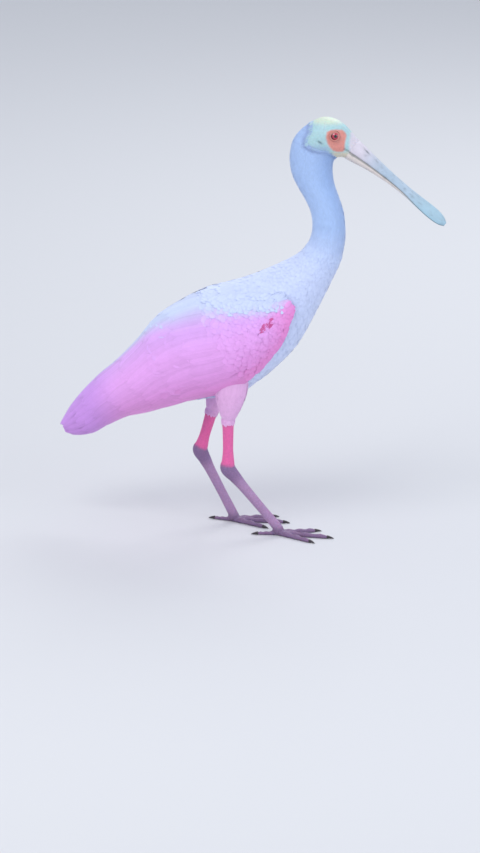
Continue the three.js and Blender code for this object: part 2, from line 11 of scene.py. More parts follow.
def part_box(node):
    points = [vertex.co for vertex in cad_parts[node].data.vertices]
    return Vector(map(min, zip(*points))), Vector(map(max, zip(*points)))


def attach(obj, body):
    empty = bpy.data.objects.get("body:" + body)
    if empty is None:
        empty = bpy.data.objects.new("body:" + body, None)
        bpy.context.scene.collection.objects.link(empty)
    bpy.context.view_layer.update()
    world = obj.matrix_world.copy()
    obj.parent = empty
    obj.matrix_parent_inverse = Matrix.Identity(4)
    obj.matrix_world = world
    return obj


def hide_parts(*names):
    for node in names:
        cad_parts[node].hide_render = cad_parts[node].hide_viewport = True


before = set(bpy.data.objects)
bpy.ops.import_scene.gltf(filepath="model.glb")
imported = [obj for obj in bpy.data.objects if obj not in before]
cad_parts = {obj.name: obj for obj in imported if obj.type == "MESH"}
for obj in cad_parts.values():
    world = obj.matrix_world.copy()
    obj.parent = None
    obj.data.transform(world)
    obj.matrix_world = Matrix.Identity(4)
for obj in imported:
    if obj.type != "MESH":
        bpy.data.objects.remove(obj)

bl_info = {
    "name": "Roseate spoonbill",
    "version": (1, 0, 0),
    "blender": (4, 5, 0),
    "location": "View3D > Sidebar > Spoonbill",
    "description": "Dresses the standing roseate spoonbill with skin, feathers and bill",
    "category": "Object",
}

RIGHT = -1
LEFT = 1
SIDES = {"right": RIGHT, "left": LEFT}
SEED = 23

# The drawing is in millimetres. The right eye tells how far the frame is moved along X.
EYE = {"x": 159.3, "y": 15.4, "z": 531.0, "radius": 7.0}
LID_RING = 5.8                  # from the middle of the eye to the middle of the lid
LID_THICK = 1.5
TOWARDS_BILL = np.array([0.94, 0, -0.34])
EYE_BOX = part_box("eye_right")
MIDDLE_X = EYE["x"] - 500 * (EYE_BOX[0].x + EYE_BOX[1].x)

# Cross sections of the body: back x, z, belly x, z, half width
BODY = np.array([
    [-122, 194, -111, 173, 10],
    [-105, 221, -84, 163, 27],
    [-78, 254, -50, 167, 40],
    [-50, 282, -15, 173, 50],
    [-20, 306, 20, 180, 55],
    [6, 323, 55, 195, 57],
    [33, 333, 86, 222, 55.5],
    [59, 344, 110, 250, 50],
    [83, 356, 131, 289, 42],
    [104, 368, 151, 330, 33],
    [117, 380, 165, 362, 26.5],
    [125, 396, 170.3, 388, 23],
    [127, 411, 170, 411, 21.5],
    [124.8, 426, 167.5, 429, 20.5],
    [118, 441.5, 161.5, 447, 20.2],
    [108.6, 457, 156.5, 461, 20.6],
    [101, 472.5, 154, 474, 21.4],
    [97.5, 488, 153.5, 485, 22],
    [97.5, 503, 155, 493, 22.3],
    [101.5, 520, 157.5, 497.5, 22.6],
    [111.5, 533.5, 160, 499.5, 22.8],
    [124.5, 543.8, 163, 500, 22.8],
    [139, 550.5, 165.5, 500, 22.2],
    [152, 550.2, 167.5, 499.8, 20.8],
    [164.5, 544.8, 169.5, 499.2, 18.6],
    [176.5, 534, 171, 498.4, 16],
    [188, 521.5, 172, 497.2, 14],
], float)

# Envelope of the folded wings from tip to shoulder, same columns, then the lower edge in
# degrees from the ridge of the back
WING = np.array([
    [-206, 124, -201, 113.5, 4.5, 170],
    [-190, 152, -183, 110, 13, 172],
    [-170, 177, -160, 114.5, 21, 170],
    [-150.5, 197, -137, 128.5, 28, 168],
    [-129, 216, -112, 141, 35, 162],
    [-104, 243, -84, 148.5, 44, 156],
    [-78, 275, -50, 158.5, 51, 152],
    [-50, 296, -15, 169, 57, 147],
    [-20, 313.5, 20, 177, 61, 145],
    [6, 324.5, 55, 193, 62.5, 143],
    [33, 334, 86, 222, 61.5, 140],
    [59, 344, 110, 250, 56.5, 131],
    [83, 356, 131, 289, 48, 112],
], float)

# Upper edge of the feathers on a wing, in degrees: behind the mantle they meet on the ridge
WING_TOP = np.array([0, 0, 0, 0, 0, 0, 0, 0, 0, 20, 50, 62, 92], float)

# Bill from face to tip along the line of the mouth: x, z, half width, half thickness
BILL = np.array([
    [180, 509.4, 14, 14.2],
    [189, 503.4, 13, 12.6],
    [204, 493, 11.6, 9.7],
    [228, 475.4, 10.8, 6.4],
    [245, 462.3, 12, 5.2],
    [256, 453.6, 15.5, 4.4],
    [267, 444.7, 20, 3.7],
    [278, 436, 23, 3.2],
    [287.5, 428.5, 22.3, 2.9],
    [294.5, 422.6, 17, 2.4],
    [299.2, 418.4, 7, 1.6],
], float)

BILL_ROOT = 3.0                 # length of the bill inside the skin of the face

LEGS = {
    "right": {
        "hip": (29, -29, 214),
        "bare_top": (22.3, -24.5, 149),
        "heel": (21.7, -22, 84.5),
        "toe_joint": (87.7, -23, 9.5),
    },
    "left": {
        "hip": (14, 29, 214),
        "bare_top": (-9.6, 24.5, 146),
        "heel": (-24.3, 22, 94.3),
        "toe_joint": (18.7, 26, 9.5),
    },
}

# Toes: length and heading in degrees from straight ahead towards the bird's own side
TOES = {"middle": (66, 3), "outer": (54, 29), "inner": (50, -27), "hind": (27, 170)}
TOE_RADIUS = 4.3
CLAW_LENGTH = 8.0

# Outlines on the head as seen from the side, in the drawing's x and z
BARE_HEAD = np.array([
    (124, 560), (127.5, 549), (129.5, 541), (129.9, 534.7), (125, 527), (124.3, 520.5), (132.5, 515.5),
    (141.7, 512.6), (151, 511.5), (158, 506), (161, 494), (205, 480), (215, 560),
], float)
FACE_PATCH = np.array([
    (149.8, 536.5), (154, 538.8), (161, 539.3), (167.5, 538.4), (171.8, 535.6), (173.6, 531), (172.8, 525.5),
    (172, 519.5), (172.4, 513.6), (169.5, 511), (163, 510.6), (158, 512.2), (154.4, 516.4),
    (151, 522), (149, 529.5),
], float)

# Corner of the mouth on the bare skin and the point where the bill takes the line over
GAPE = ((170.5, 515.2), (183, 507.5))
EAR = {"x": 141.0, "z": 522.7, "length": 7.0, "height": 2.4, "tilt": 32}

# Carmine marks on the shoulder: x, z, half width, half height
SHOULDER_MARKS = ((80, 288, 2.6, 7.5), (88, 295, 2.2, 5.5))

# Upper limit of the pink on a wing, in degrees from the ridge of the back at each section
BODY_TO_WING = 4                # section of a wing beside section 0 of the body
PINK_FROM = np.array([14, 12, 10, 10, 14, 22, 38, 50, 55, 56, 62, 78, 90], float)


def srgb(red, green, blue):
    """Linear colour of an sRGB colour given in 0 to 255."""
    share = np.array([red, green, blue], float) / 255
    return np.where(share <= 0.04045, share / 12.92, ((share + 0.055) / 1.055) ** 2.4)


COLOURS = {
    # The blue tint of these four colours of white plumage is painted shade and sky light, deepest on the
    # neck and on its front.
    "white": srgb(200, 212, 244),
    "neck": srgb(168, 195, 237),
    "neck_front_shade": srgb(150, 180, 228),
    "breast": srgb(204, 216, 248),
    "rear_back": srgb(190, 174, 234),
    "thigh": srgb(232, 180, 228),
    "wing_high": srgb(221, 170, 242),
    "wing_middle": srgb(234, 168, 240),
    "wing_low": srgb(232, 148, 222),
    "wing_edge": srgb(236, 140, 212),
    "wing_rear": srgb(196, 142, 226),
    "carmine": srgb(206, 66, 140),
    "crown": srgb(164, 200, 206),
    "crown_top": srgb(200, 215, 196),
    "face": srgb(212, 140, 130),
    "chin": srgb(214, 206, 184),
    "dusky": srgb(140, 160, 205),
    "ear": srgb(84, 104, 122),
    "shank": srgb(228, 100, 164),
    "heel": srgb(138, 108, 152),
    "tarsus": srgb(172, 136, 178),
    "foot": srgb(132, 104, 142),
    "tail": srgb(232, 160, 104),
    "tail_cover": srgb(232, 150, 170),
    "bill_base": srgb(206, 200, 212),
    "bill_middle": srgb(166, 186, 204),
    "bill_spoon": srgb(152, 186, 204),
    "bill_lower": srgb(224, 214, 208),
    "mottle": srgb(74, 88, 92),
    "iris": srgb(176, 36, 66),
    "pupil": srgb(12, 8, 12),
    "eye_rim": srgb(66, 16, 30),
    "claw": srgb(54, 46, 52),
}


# Colours that the user can change, and the settings that hold them
USER_COLOURS = {
    "neck": "neck_colour",
    "white": "back_colour",
    "wing_middle": "wing_colour",
    "carmine": "shoulder_colour",
    "face": "face_colour",
    "shank": "leg_colour",
    "bill_middle": "bill_colour",
    "iris": "iris_colour",
}


def place(x, y, z):
    """Points of the drawing in the frame's own metres."""
    return np.stack(np.broadcast_arrays((x - MIDDLE_X) / 1000, y / 1000, z / 1000), axis=-1)


def smooth(rows, t):
    """Rows read as smooth curves at row number t, whole or not."""
    longer = np.vstack([2 * rows[0] - rows[1], rows, 2 * rows[-1] - rows[-2]])
    t = np.clip(np.asarray(t, float), 0, len(rows) - 1)
    k = np.minimum(t.astype(int), len(rows) - 2)
    w = (t - k)[..., None]
    before, here, after, beyond = longer[k], longer[k + 1], longer[k + 2], longer[k + 3]
    leave = (after - before) / 2
    arrive = (beyond - here) / 2
    cubic = 2 * here - 2 * after + leave + arrive
    square = -3 * here + 3 * after - 2 * leave - arrive
    return cubic * w**3 + square * w**2 + leave * w + here


def on_section(rows, side, t, angle, out=0.0):
    """Points on a row of sections at an angle from the ridge, stood off by out."""
    row = smooth(rows[:, :5], t)
    back, belly, half_width = row[..., 0:2], row[..., 2:4], row[..., 4]
    centre = (back + belly) / 2
    up = back - belly
    tall = np.linalg.norm(up, axis=-1)
    up = up / tall[..., None]
    half_height = tall / 2
    cos, sin = np.cos(angle), np.sin(angle)
    normal = np.stack(np.broadcast_arrays(cos / half_height, sin / half_width), axis=-1)
    normal = normal / np.linalg.norm(normal, axis=-1)[..., None]
    rise = half_height * cos + out * normal[..., 0]
    away = half_width * sin + out * normal[..., 1]
    return place(centre[..., 0] + up[..., 0] * rise, side * away, centre[..., 1] + up[..., 1] * rise)


def unit(vectors):
    """Vectors brought to length one."""
    return vectors / np.maximum(np.linalg.norm(vectors, axis=-1, keepdims=True), 1e-12)


def surface_frame(rows, side, t, angle, out=0.0):
    """Point, direction towards the tail, direction round the body and outward normal."""
    spot = on_section(rows, side, t, angle, out)
    rearward = on_section(rows, side, t - 0.05, angle, out) - on_section(rows, side, t + 0.05, angle, out)
    turned = on_section(rows, side, t, angle + 0.02, out) - on_section(rows, side, t, angle - 0.02, out)
    rearward = unit(rearward)
    turned = unit(turned)
    normal = unit(np.cross(turned, rearward)) * side
    return spot, rearward, turned, normal


def edge_depth(outline, x, z):
    """How far points lie inside a closed outline, negative outside."""
    x = np.asarray(x, float)
    z = np.asarray(z, float)
    inside = np.zeros(x.shape, bool)
    nearest = np.full(x.shape, 1e9)
    for k in range(len(outline)):
        x1, z1 = outline[k]
        x2, z2 = outline[(k + 1) % len(outline)]
        crosses = (z1 > z) != (z2 > z)
        if z1 != z2:
            inside ^= crosses & (x < (x2 - x1) * (z - z1) / (z2 - z1) + x1)
        length = (x2 - x1) ** 2 + (z2 - z1) ** 2
        share = np.clip(((x - x1) * (x2 - x1) + (z - z1) * (z2 - z1)) / length, 0, 1)
        nearest = np.minimum(nearest, np.hypot(x - x1 - share * (x2 - x1), z - z1 - share * (z2 - z1)))
    return np.where(inside, nearest, -nearest)


def ease(value, start, end):
    """Smooth step from 0 at start to 1 at end."""
    share = np.clip((value - start) / (end - start), 0, 1)
    return share * share * (3 - 2 * share)


def mix(first, second, share):
    """Colours mixed by a share for each point."""
    return first + (second - first) * np.asarray(share)[..., None]


def design(points):
    """Drawing coordinates of points given in metres."""
    return points[..., 0] * 1000 + MIDDLE_X, points[..., 1] * 1000, points[..., 2] * 1000


def bare_depth(points):
    """How far points lie inside the bare skin of the head, in millimetres."""
    x, _, z = design(points)
    return edge_depth(BARE_HEAD, x, z)


def gape_closeness(points):
    """1 on the line of the mouth over the bare skin and 0 away from it."""
    x, y, z = design(points)
    corner, end = np.array(GAPE)
    length = np.hypot(*(end - corner))
    along = ((x - corner[0]) * (end - corner)[0] + (z - corner[1]) * (end - corner)[1]) / length
    over = ((x - corner[0]) * (end - corner)[1] - (z - corner[1]) * (end - corner)[0]) / length
    return np.exp(-((over / 0.75) ** 2)) * ease(along, -0.8, 1.2) * (np.abs(y) > 7)


def body_colour(points, t, angle):
    """Markings of the head, neck, body and rump, the same for skin and plumage, with painted shade on the
    white plumage: a blue tint, darker on the front of the neck.
    """
    x, y, z = design(points)
    low = ease(np.degrees(angle), 90, 150)
    colour = mix(COLOURS["white"], COLOURS["breast"], low)
    colour = mix(colour, COLOURS["neck"], ease(t, 9, 13))
    # Painted shade: the front of the neck gets a darker, bluer white than its back.
    colour = mix(colour, COLOURS["neck_front_shade"], ease(t, 12, 16) * low * 0.8)
    colour = mix(colour, COLOURS["rear_back"], ease(-t, -5.5, -2))
    colour = mix(colour, COLOURS["tail_cover"], ease(-t, -1.6, -0.4) * low)
    bare = edge_depth(BARE_HEAD, x, z)
    near_edge = np.exp(-((bare + 1.5) / 4.0) ** 2) * ease(z, 505, 515) * ease(-z, -549, -540)
    colour = mix(colour, COLOURS["dusky"], 0.75 * near_edge)
    skin = mix(COLOURS["crown"], COLOURS["crown_top"], ease(z, 541, 549))
    skin = mix(skin, COLOURS["dusky"], 0.5 * ease(-z, -523, -513) * ease(-x, -156, -148))
    skin = mix(skin, COLOURS["chin"], ease(-z, -514, -506) * ease(x, 152, 160))
    skin = mix(skin, COLOURS["bill_base"], ease(x, 175.5, 179.5) * ease(-z, -546, -538))
    patch = edge_depth(FACE_PATCH, x, z)
    skin = mix(skin, COLOURS["face"], ease(patch, -1.2, 1.2) * ease(np.abs(y), 8, 12))
    skin = mix(skin, COLOURS["mottle"], 0.8 * gape_closeness(points))
    return mix(colour, skin, ease(bare, -1, 1))


def wing_colour(t, angle):
    """Markings of a folded wing at section t and angle from the ridge."""
    degrees = np.degrees(angle)
    index = np.arange(len(PINK_FROM))
    border = np.interp(t, index, PINK_FROM)
    top = np.interp(t, index, WING_TOP)
    low = np.interp(t, index, WING[:, 5])
    share = np.clip((degrees - border) / (low - border), 0, 1)
    colour = mix(COLOURS["wing_high"], COLOURS["wing_middle"], ease(share, 0, 0.45))
    colour = mix(colour, COLOURS["wing_low"], ease(share, 0.4, 0.95))
    colour = mix(colour, COLOURS["wing_edge"], ease(share, 0.75, 1) * ease(t, 6, 9) * 0.8)
    colour = mix(colour, COLOURS["wing_edge"], ease(t, 10.6, 11.8) * 0.6)
    colour = mix(colour, COLOURS["wing_rear"], ease(-t, -4.5, -2) * 0.8)
    pale = mix(COLOURS["white"], COLOURS["rear_back"], ease(-t, -5.5, -2.5))
    return mix(pale, colour, ease(degrees, border - 0.35 * (border - top) - 7, border + 9))


def leg_stations(leg):
    """Rows down one leg: x, y, z, half width fore and aft, half width across."""
    hip, bare_top, heel, toe_joint = (np.array(leg[key], float) for key in leg)
    between = (
        (hip, bare_top, 0.0, 24, 17),
        (hip, bare_top, 0.4, 21.5, 16),
        (hip, bare_top, 0.68, 16.5, 13.5),
        (hip, bare_top, 0.88, 11.5, 10.5),
        (bare_top, heel, 0.0, 8.2, 8),
        (bare_top, heel, 0.3, 7.2, 7),
        (bare_top, heel, 0.62, 7, 6.8),
        (bare_top, heel, 0.85, 8.4, 7.6),
        (heel, toe_joint, 0.0, 10, 8.4),
        (heel, toe_joint, 0.14, 8.2, 7.4),
        (heel, toe_joint, 0.32, 6.7, 6.2),
        (heel, toe_joint, 0.68, 6.1, 5.6),
        (heel, toe_joint, 0.93, 6.4, 6),
        (heel, toe_joint, 1.02, 6.2, 6.2),
    )
    return np.array([[*(a + (b - a) * s), fore, across] for a, b, s, fore, across in between])


def leg_rings(leg, steps, sides, inset):
    """Rings of points down a leg, with the row number of each ring."""
    rows = leg_stations(leg)
    t = np.linspace(0, len(rows) - 1, steps)
    row = smooth(rows, t)
    along = unit(np.gradient(row[:, :3], axis=0))
    across = np.array([0, 1, 0]) - along * along[:, 1:2]
    across = unit(across)
    fore = np.cross(across, along)
    angle = np.linspace(0, 2 * math.pi, sides, endpoint=False)
    depth = np.where(t < 4, inset, 0.15)
    half_fore = (row[:, 3] - depth)[:, None, None]
    half_across = (row[:, 4] - depth)[:, None, None]
    spots = row[:, None, :3] + fore[:, None, :] * half_fore * np.cos(angle)[None, :, None]
    spots = spots + across[:, None, :] * half_across * np.sin(angle)[None, :, None]
    return place(spots[..., 0], spots[..., 1], spots[..., 2]), t


def toe_axes(side, spread):
    """Directions along and across a toe on the ground."""
    heading = math.radians(spread) * side
    along = np.array([math.cos(heading), math.sin(heading)])
    return along, np.array([-along[1], along[0]])


def toe_rings(leg, side, name, sides=14, steps=26):
    """Rings of one toe from the toe joint to the claw."""
    length, spread = TOES[name]
    radius = TOE_RADIUS * (0.8 if name == "hind" else 1)
    profile = np.array([[1], [0.86], [0.96], [0.74], [0.86], [0.68], [0.78], [0.5]])
    s = np.linspace(0, 1, steps)
    half = radius * smooth(profile, s * (len(profile) - 1))[:, 0] - 0.1
    along, across = toe_axes(side, spread)
    angle = np.linspace(0, 2 * math.pi, sides, endpoint=False)
    middle = np.array(leg["toe_joint"][:2], float) + along * (length * s)[:, None]
    spots = middle[:, None, :] + across * (half[:, None] * np.cos(angle))[..., None]
    level = np.maximum(0.1, half[:, None] * (0.78 + np.sin(angle)))
    return place(spots[..., 0], spots[..., 1], level)


def web_rings(leg, side, first, second):
    """Web between two toes, reaching part of the way out."""
    start = np.array(leg["toe_joint"][:2], float)
    share = np.linspace(0, 1, 9)
    angle = np.radians(TOES[first][1] + (TOES[second][1] - TOES[first][1]) * share) * side
    reach = 0.62 * TOES["inner"][0] * (1 - 0.42 * np.sin(math.pi * share))
    far = start + np.stack([reach * np.cos(angle), reach * np.sin(angle)], axis=-1)
    outline = np.vstack([start, far])
    return np.stack([place(outline[:, 0], outline[:, 1], level) for level in (0.2, 2.6)])


def loft(rings):
    """Points and faces of a closed tube through rings of equal count."""
    count, sides = rings.shape[:2]
    points = rings.reshape(-1, 3)
    a = (np.arange(count - 1)[:, None] * sides + np.arange(sides)[None, :]).ravel()
    b = (np.arange(count - 1)[:, None] * sides + (np.arange(sides)[None, :] + 1) % sides).ravel()
    faces = np.stack([a, b, b + sides, a + sides], axis=-1).tolist()
    first = list(range(sides))
    last = list(range((count - 1) * sides, count * sides))
    return points, faces + [first[::-1], last]


def ball(centre, radius, stretch=(1, 1, 1), sides=32, rows=20):
    """Points and faces of a ball in the drawing's millimetres."""
    polar = np.linspace(0.001, math.pi - 0.001, rows)
    turn = np.linspace(0, 2 * math.pi, sides, endpoint=False)
    x = np.sin(polar)[:, None] * np.cos(turn) * stretch[0]
    z = np.sin(polar)[:, None] * np.sin(turn) * stretch[2]
    y = np.broadcast_to(np.cos(polar)[:, None] * stretch[1], x.shape)
    return loft(place(centre[0] + radius * x, centre[1] + radius * y, centre[2] + radius * z))


def merge(parts):
    """Several sets of points and faces as one."""
    points, faces, shift = [], [], 0
    for part_points, part_faces in parts:
        points.append(part_points)
        faces.extend([[index + shift for index in face] for face in part_faces])
        shift += len(part_points)
    return np.vstack(points), faces


SHARP_RIM = math.radians(60)    # a feather's rim is a sharp edge, its two faces are smooth


def make_mesh(name, points, faces, rimmed=False):
    """New mesh with its faces turned outwards and shaded smooth, rims kept sharp where asked."""
    mesh = bpy.data.meshes.new(name)
    mesh.from_pydata(points.tolist(), [], faces)
    mesh.update()
    turn_outwards(mesh)
    mesh.shade_smooth()
    if rimmed:
        mesh.set_sharp_from_angle(angle=SHARP_RIM)
    return mesh


def turn_outwards(mesh):
    """Makes the normals of closed shells point out."""
    work = bmesh.new()
    work.from_mesh(mesh)
    bmesh.ops.recalc_face_normals(work, faces=work.faces)
    work.to_mesh(mesh)
    work.free()


def make_object(name, mesh, materials):
    """Object at the origin that shows a mesh with its materials."""
    piece = bpy.data.objects.new(name, mesh)
    bpy.context.scene.collection.objects.link(piece)
    for material in materials:
        mesh.materials.append(material)
    return piece


def set_colours(mesh, colours, name="tint"):
    """Colour of each point, kept as an attribute."""
    layer = mesh.attributes.new(name, "FLOAT_COLOR", "POINT")
    four = np.ones((len(mesh.vertices), 4), np.float32)
    four[:, :3] = np.clip(colours, 0, 1)
    layer.data.foreach_set("color", four.ravel())


def set_values(mesh, values, name):
    """One number for each point, kept as an attribute."""
    layer = mesh.attributes.new(name, "FLOAT", "POINT")
    layer.data.foreach_set("value", np.asarray(values, np.float32))


def mesh_points(mesh):
    """Places of a mesh's points."""
    points = np.zeros(len(mesh.vertices) * 3, np.float32)
    mesh.vertices.foreach_get("co", points)
    return points.reshape(-1, 3).astype(float)


def read_settings(context):
    """The user's settings, with the chosen colours put into the colour table."""
    chosen = context.scene.spoonbill
    for name, setting in USER_COLOURS.items():
        COLOURS[name] = np.array(getattr(chosen, setting))
    return chosen


def dressed(piece, slot, *nodes):
    """Ties a finished piece to the frame."""
    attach(piece, "root")
    if nodes:
        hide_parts(*nodes)


# Materials


def new_material(name):
    """Empty material with its Principled BSDF, node list and link list."""
    material = bpy.data.materials.new(name)
    material.use_nodes = True
    nodes = material.node_tree.nodes
    return material, nodes["Principled BSDF"], nodes, material.node_tree.links


def add_math(nodes, links, operation, *terms):
    """Math node on numbers and sockets; returns its output."""
    node = nodes.new("ShaderNodeMath")
    node.operation = operation
    for index, term in enumerate(terms):
        if isinstance(term, float):
            node.inputs[index].default_value = term
        else:
            links.new(term, node.inputs[index])
    return node.outputs[0]


def add_scale(nodes, links, vector, factor):
    """Colour or vector times a number; returns the output."""
    node = nodes.new("ShaderNodeVectorMath")
    node.operation = "SCALE"
    links.new(vector, node.inputs[0])
    links.new(factor, node.inputs["Scale"])
    return node.outputs[0]


def fleck_group():
    """Shader group: darkens and lightens a colour by soft noise and gives the noise as height."""
    group = bpy.data.node_groups.new("Soft flecks", "ShaderNodeTree")
    group.interface.new_socket("Color", in_out="INPUT", socket_type="NodeSocketColor")
    group.interface.new_socket("Scale", in_out="INPUT", socket_type="NodeSocketFloat")
    group.interface.new_socket("Amount", in_out="INPUT", socket_type="NodeSocketFloat")
    group.interface.new_socket("Color", in_out="OUTPUT", socket_type="NodeSocketColor")
    group.interface.new_socket("Height", in_out="OUTPUT", socket_type="NodeSocketFloat")
    nodes, links = group.nodes, group.links
    enter = nodes.new("NodeGroupInput")
    leave = nodes.new("NodeGroupOutput")
    place_node = nodes.new("ShaderNodeTexCoord")
    noise = nodes.new("ShaderNodeTexNoise")
    noise.inputs["Detail"].default_value = 4
    links.new(place_node.outputs["Object"], noise.inputs["Vector"])
    links.new(enter.outputs["Scale"], noise.inputs["Scale"])
    centred = add_math(nodes, links, "SUBTRACT", noise.outputs["Fac"], 0.5)
    strength = add_math(nodes, links, "MULTIPLY_ADD", centred, enter.outputs["Amount"], 1.0)
    links.new(add_scale(nodes, links, enter.outputs["Color"], strength), leave.inputs["Color"])
    links.new(noise.outputs["Fac"], leave.inputs["Height"])
    return group


def add_flecks(nodes, links, colour, scale, amount):
    """Places the fleck group in a material and returns it."""
    flecks = nodes.new("ShaderNodeGroup")
    flecks.node_tree = bpy.data.node_groups.get("Soft flecks") or fleck_group()
    flecks.inputs["Scale"].default_value = scale
    flecks.inputs["Amount"].default_value = amount
    links.new(colour, flecks.inputs["Color"])
    return flecks


def read_attribute(nodes, name):
    """Attribute node that reads a mesh attribute."""
    node = nodes.new("ShaderNodeAttribute")
    node.attribute_name = name
    return node


def add_bump(nodes, links, shader, height, strength, distance):
    """Bump from a height into the shader's normal."""
    bump = nodes.new("ShaderNodeBump")
    bump.inputs["Strength"].default_value = strength
    bump.inputs["Distance"].default_value = distance
    links.new(height, bump.inputs["Height"])
    links.new(bump.outputs["Normal"], shader.inputs["Normal"])


def skin_material():
    """Bare skin: markings from the mesh, fine creases, plates where the legs are scaly."""
    material, shader, nodes, links = new_material("Bare skin")
    tint = read_attribute(nodes, "tint")
    flecks = add_flecks(nodes, links, tint.outputs["Color"], 420, 0.35)
    spot = nodes.new("ShaderNodeTexCoord")
    plates = nodes.new("ShaderNodeTexVoronoi")
    plates.feature = "DISTANCE_TO_EDGE"
    plates.inputs["Scale"].default_value = 470
    links.new(spot.outputs["Object"], plates.inputs["Vector"])
    groove = nodes.new("ShaderNodeMapRange")
    groove.inputs["From Max"].default_value = 0.16
    links.new(plates.outputs["Distance"], groove.inputs["Value"])
    scaly = read_attribute(nodes, "scaly")
    height = nodes.new("ShaderNodeMix")
    links.new(scaly.outputs["Fac"], height.inputs["Factor"])
    links.new(flecks.outputs["Height"], height.inputs["A"])
    links.new(groove.outputs["Result"], height.inputs["B"])
    # Painted shade: on the scaly legs the colour is darkened by up to 18 per cent in the grooves between the
    # plates.
    shade = nodes.new("ShaderNodeMapRange")
    shade.inputs["To Min"].default_value = 0.82
    links.new(groove.outputs["Result"], shade.inputs["Value"])
    depth = nodes.new("ShaderNodeMix")
    depth.inputs["A"].default_value = 1.0
    links.new(scaly.outputs["Fac"], depth.inputs["Factor"])
    links.new(shade.outputs["Result"], depth.inputs["B"])
    darker = add_scale(nodes, links, flecks.outputs["Color"], depth.outputs["Result"])
    links.new(darker, shader.inputs["Base Color"])
    shader.inputs["Roughness"].default_value = 0.52
    shader.inputs["Subsurface Weight"].default_value = 0.12
    shader.inputs["Subsurface Scale"].default_value = 0.003
    add_bump(nodes, links, shader, height.outputs["Result"], 0.5, 0.0006)
    return material


def plumage_material(name, painted_root_shade, barb_strength):
    """Feathers: tint from the mesh, with painted shade darkening it towards the root, fine barbs slanting
    off the shaft.
    """
    material, shader, nodes, links = new_material(name)
    tint = read_attribute(nodes, "tint")
    along = read_attribute(nodes, "along")
    flecks = add_flecks(nodes, links, tint.outputs["Color"], 160, 0.12)
    # Painted shade: the colour darkens from tip to root, where each feather lies under the overlapping ones.
    lift = nodes.new("ShaderNodeMapRange")
    lift.inputs["From Min"].default_value = 0.15
    lift.inputs["From Max"].default_value = 0.8
    lift.inputs["To Min"].default_value = painted_root_shade
    links.new(along.outputs["Fac"], lift.inputs["Value"])
    shaded = add_scale(nodes, links, flecks.outputs["Color"], lift.outputs["Result"])
    links.new(shaded, shader.inputs["Base Color"])
    shader.inputs["Roughness"].default_value = 0.72
    shader.inputs["Sheen Weight"].default_value = 0.25
    shader.inputs["Sheen Roughness"].default_value = 0.5
    barbs = read_attribute(nodes, "barb")
    wave = add_math(nodes, links, "SINE", barbs.outputs["Fac"])
    add_bump(nodes, links, shader, wave, barb_strength, 0.0003)
    return material


def bill_material():
    """Horn: colour from the mesh with dark mottling and a low bumpy grain."""
    material, shader, nodes, links = new_material("Bill horn")
    tint = read_attribute(nodes, "tint")
    flecks = add_flecks(nodes, links, tint.outputs["Color"], 110, 0.3)
    spot = nodes.new("ShaderNodeTexCoord")
    patches = nodes.new("ShaderNodeTexNoise")
    patches.inputs["Scale"].default_value = 130
    patches.inputs["Detail"].default_value = 3
    links.new(spot.outputs["Object"], patches.inputs["Vector"])
    mask = nodes.new("ShaderNodeMapRange")
    mask.inputs["From Min"].default_value = 0.54
    mask.inputs["From Max"].default_value = 0.72
    mask.inputs["To Max"].default_value = 0.3
    links.new(patches.outputs["Fac"], mask.inputs["Value"])
    blend = nodes.new("ShaderNodeMix")
    blend.data_type = "RGBA"
    blend.inputs["B"].default_value = (*COLOURS["mottle"], 1)
    links.new(mask.outputs["Result"], blend.inputs["Factor"])
    links.new(flecks.outputs["Color"], blend.inputs["A"])
    links.new(blend.outputs["Result"], shader.inputs["Base Color"])
    shader.inputs["Roughness"].default_value = 0.58
    add_bump(nodes, links, shader, flecks.outputs["Height"], 0.35, 0.0006)
    return material


def plain_material(name, colour, roughness, coat=0.0):
    """One colour with a plain finish."""
    material, shader, _, _ = new_material(name)
    shader.inputs["Base Color"].default_value = (*colour, 1)
    shader.inputs["Roughness"].default_value = roughness
    shader.inputs["Coat Weight"].default_value = coat
    return material


def tinted_material(name, roughness, coat):
    """Finish whose colour comes from the mesh."""
    material, shader, nodes, links = new_material(name)
    tint = read_attribute(nodes, "tint")
    links.new(tint.outputs["Color"], shader.inputs["Base Color"])
    shader.inputs["Roughness"].default_value = roughness
    shader.inputs["Coat Weight"].default_value = coat
    shader.inputs["Coat Roughness"].default_value = 0.03
    return material


# Skin


def coat_depth(points, t):
    """How far the skin lies under the plumage's surface, in millimetres."""
    depth = 2.4 - 1.2 * ease(t, 9, 13)
    return depth * ease(-bare_depth(points), -0.5, 4)


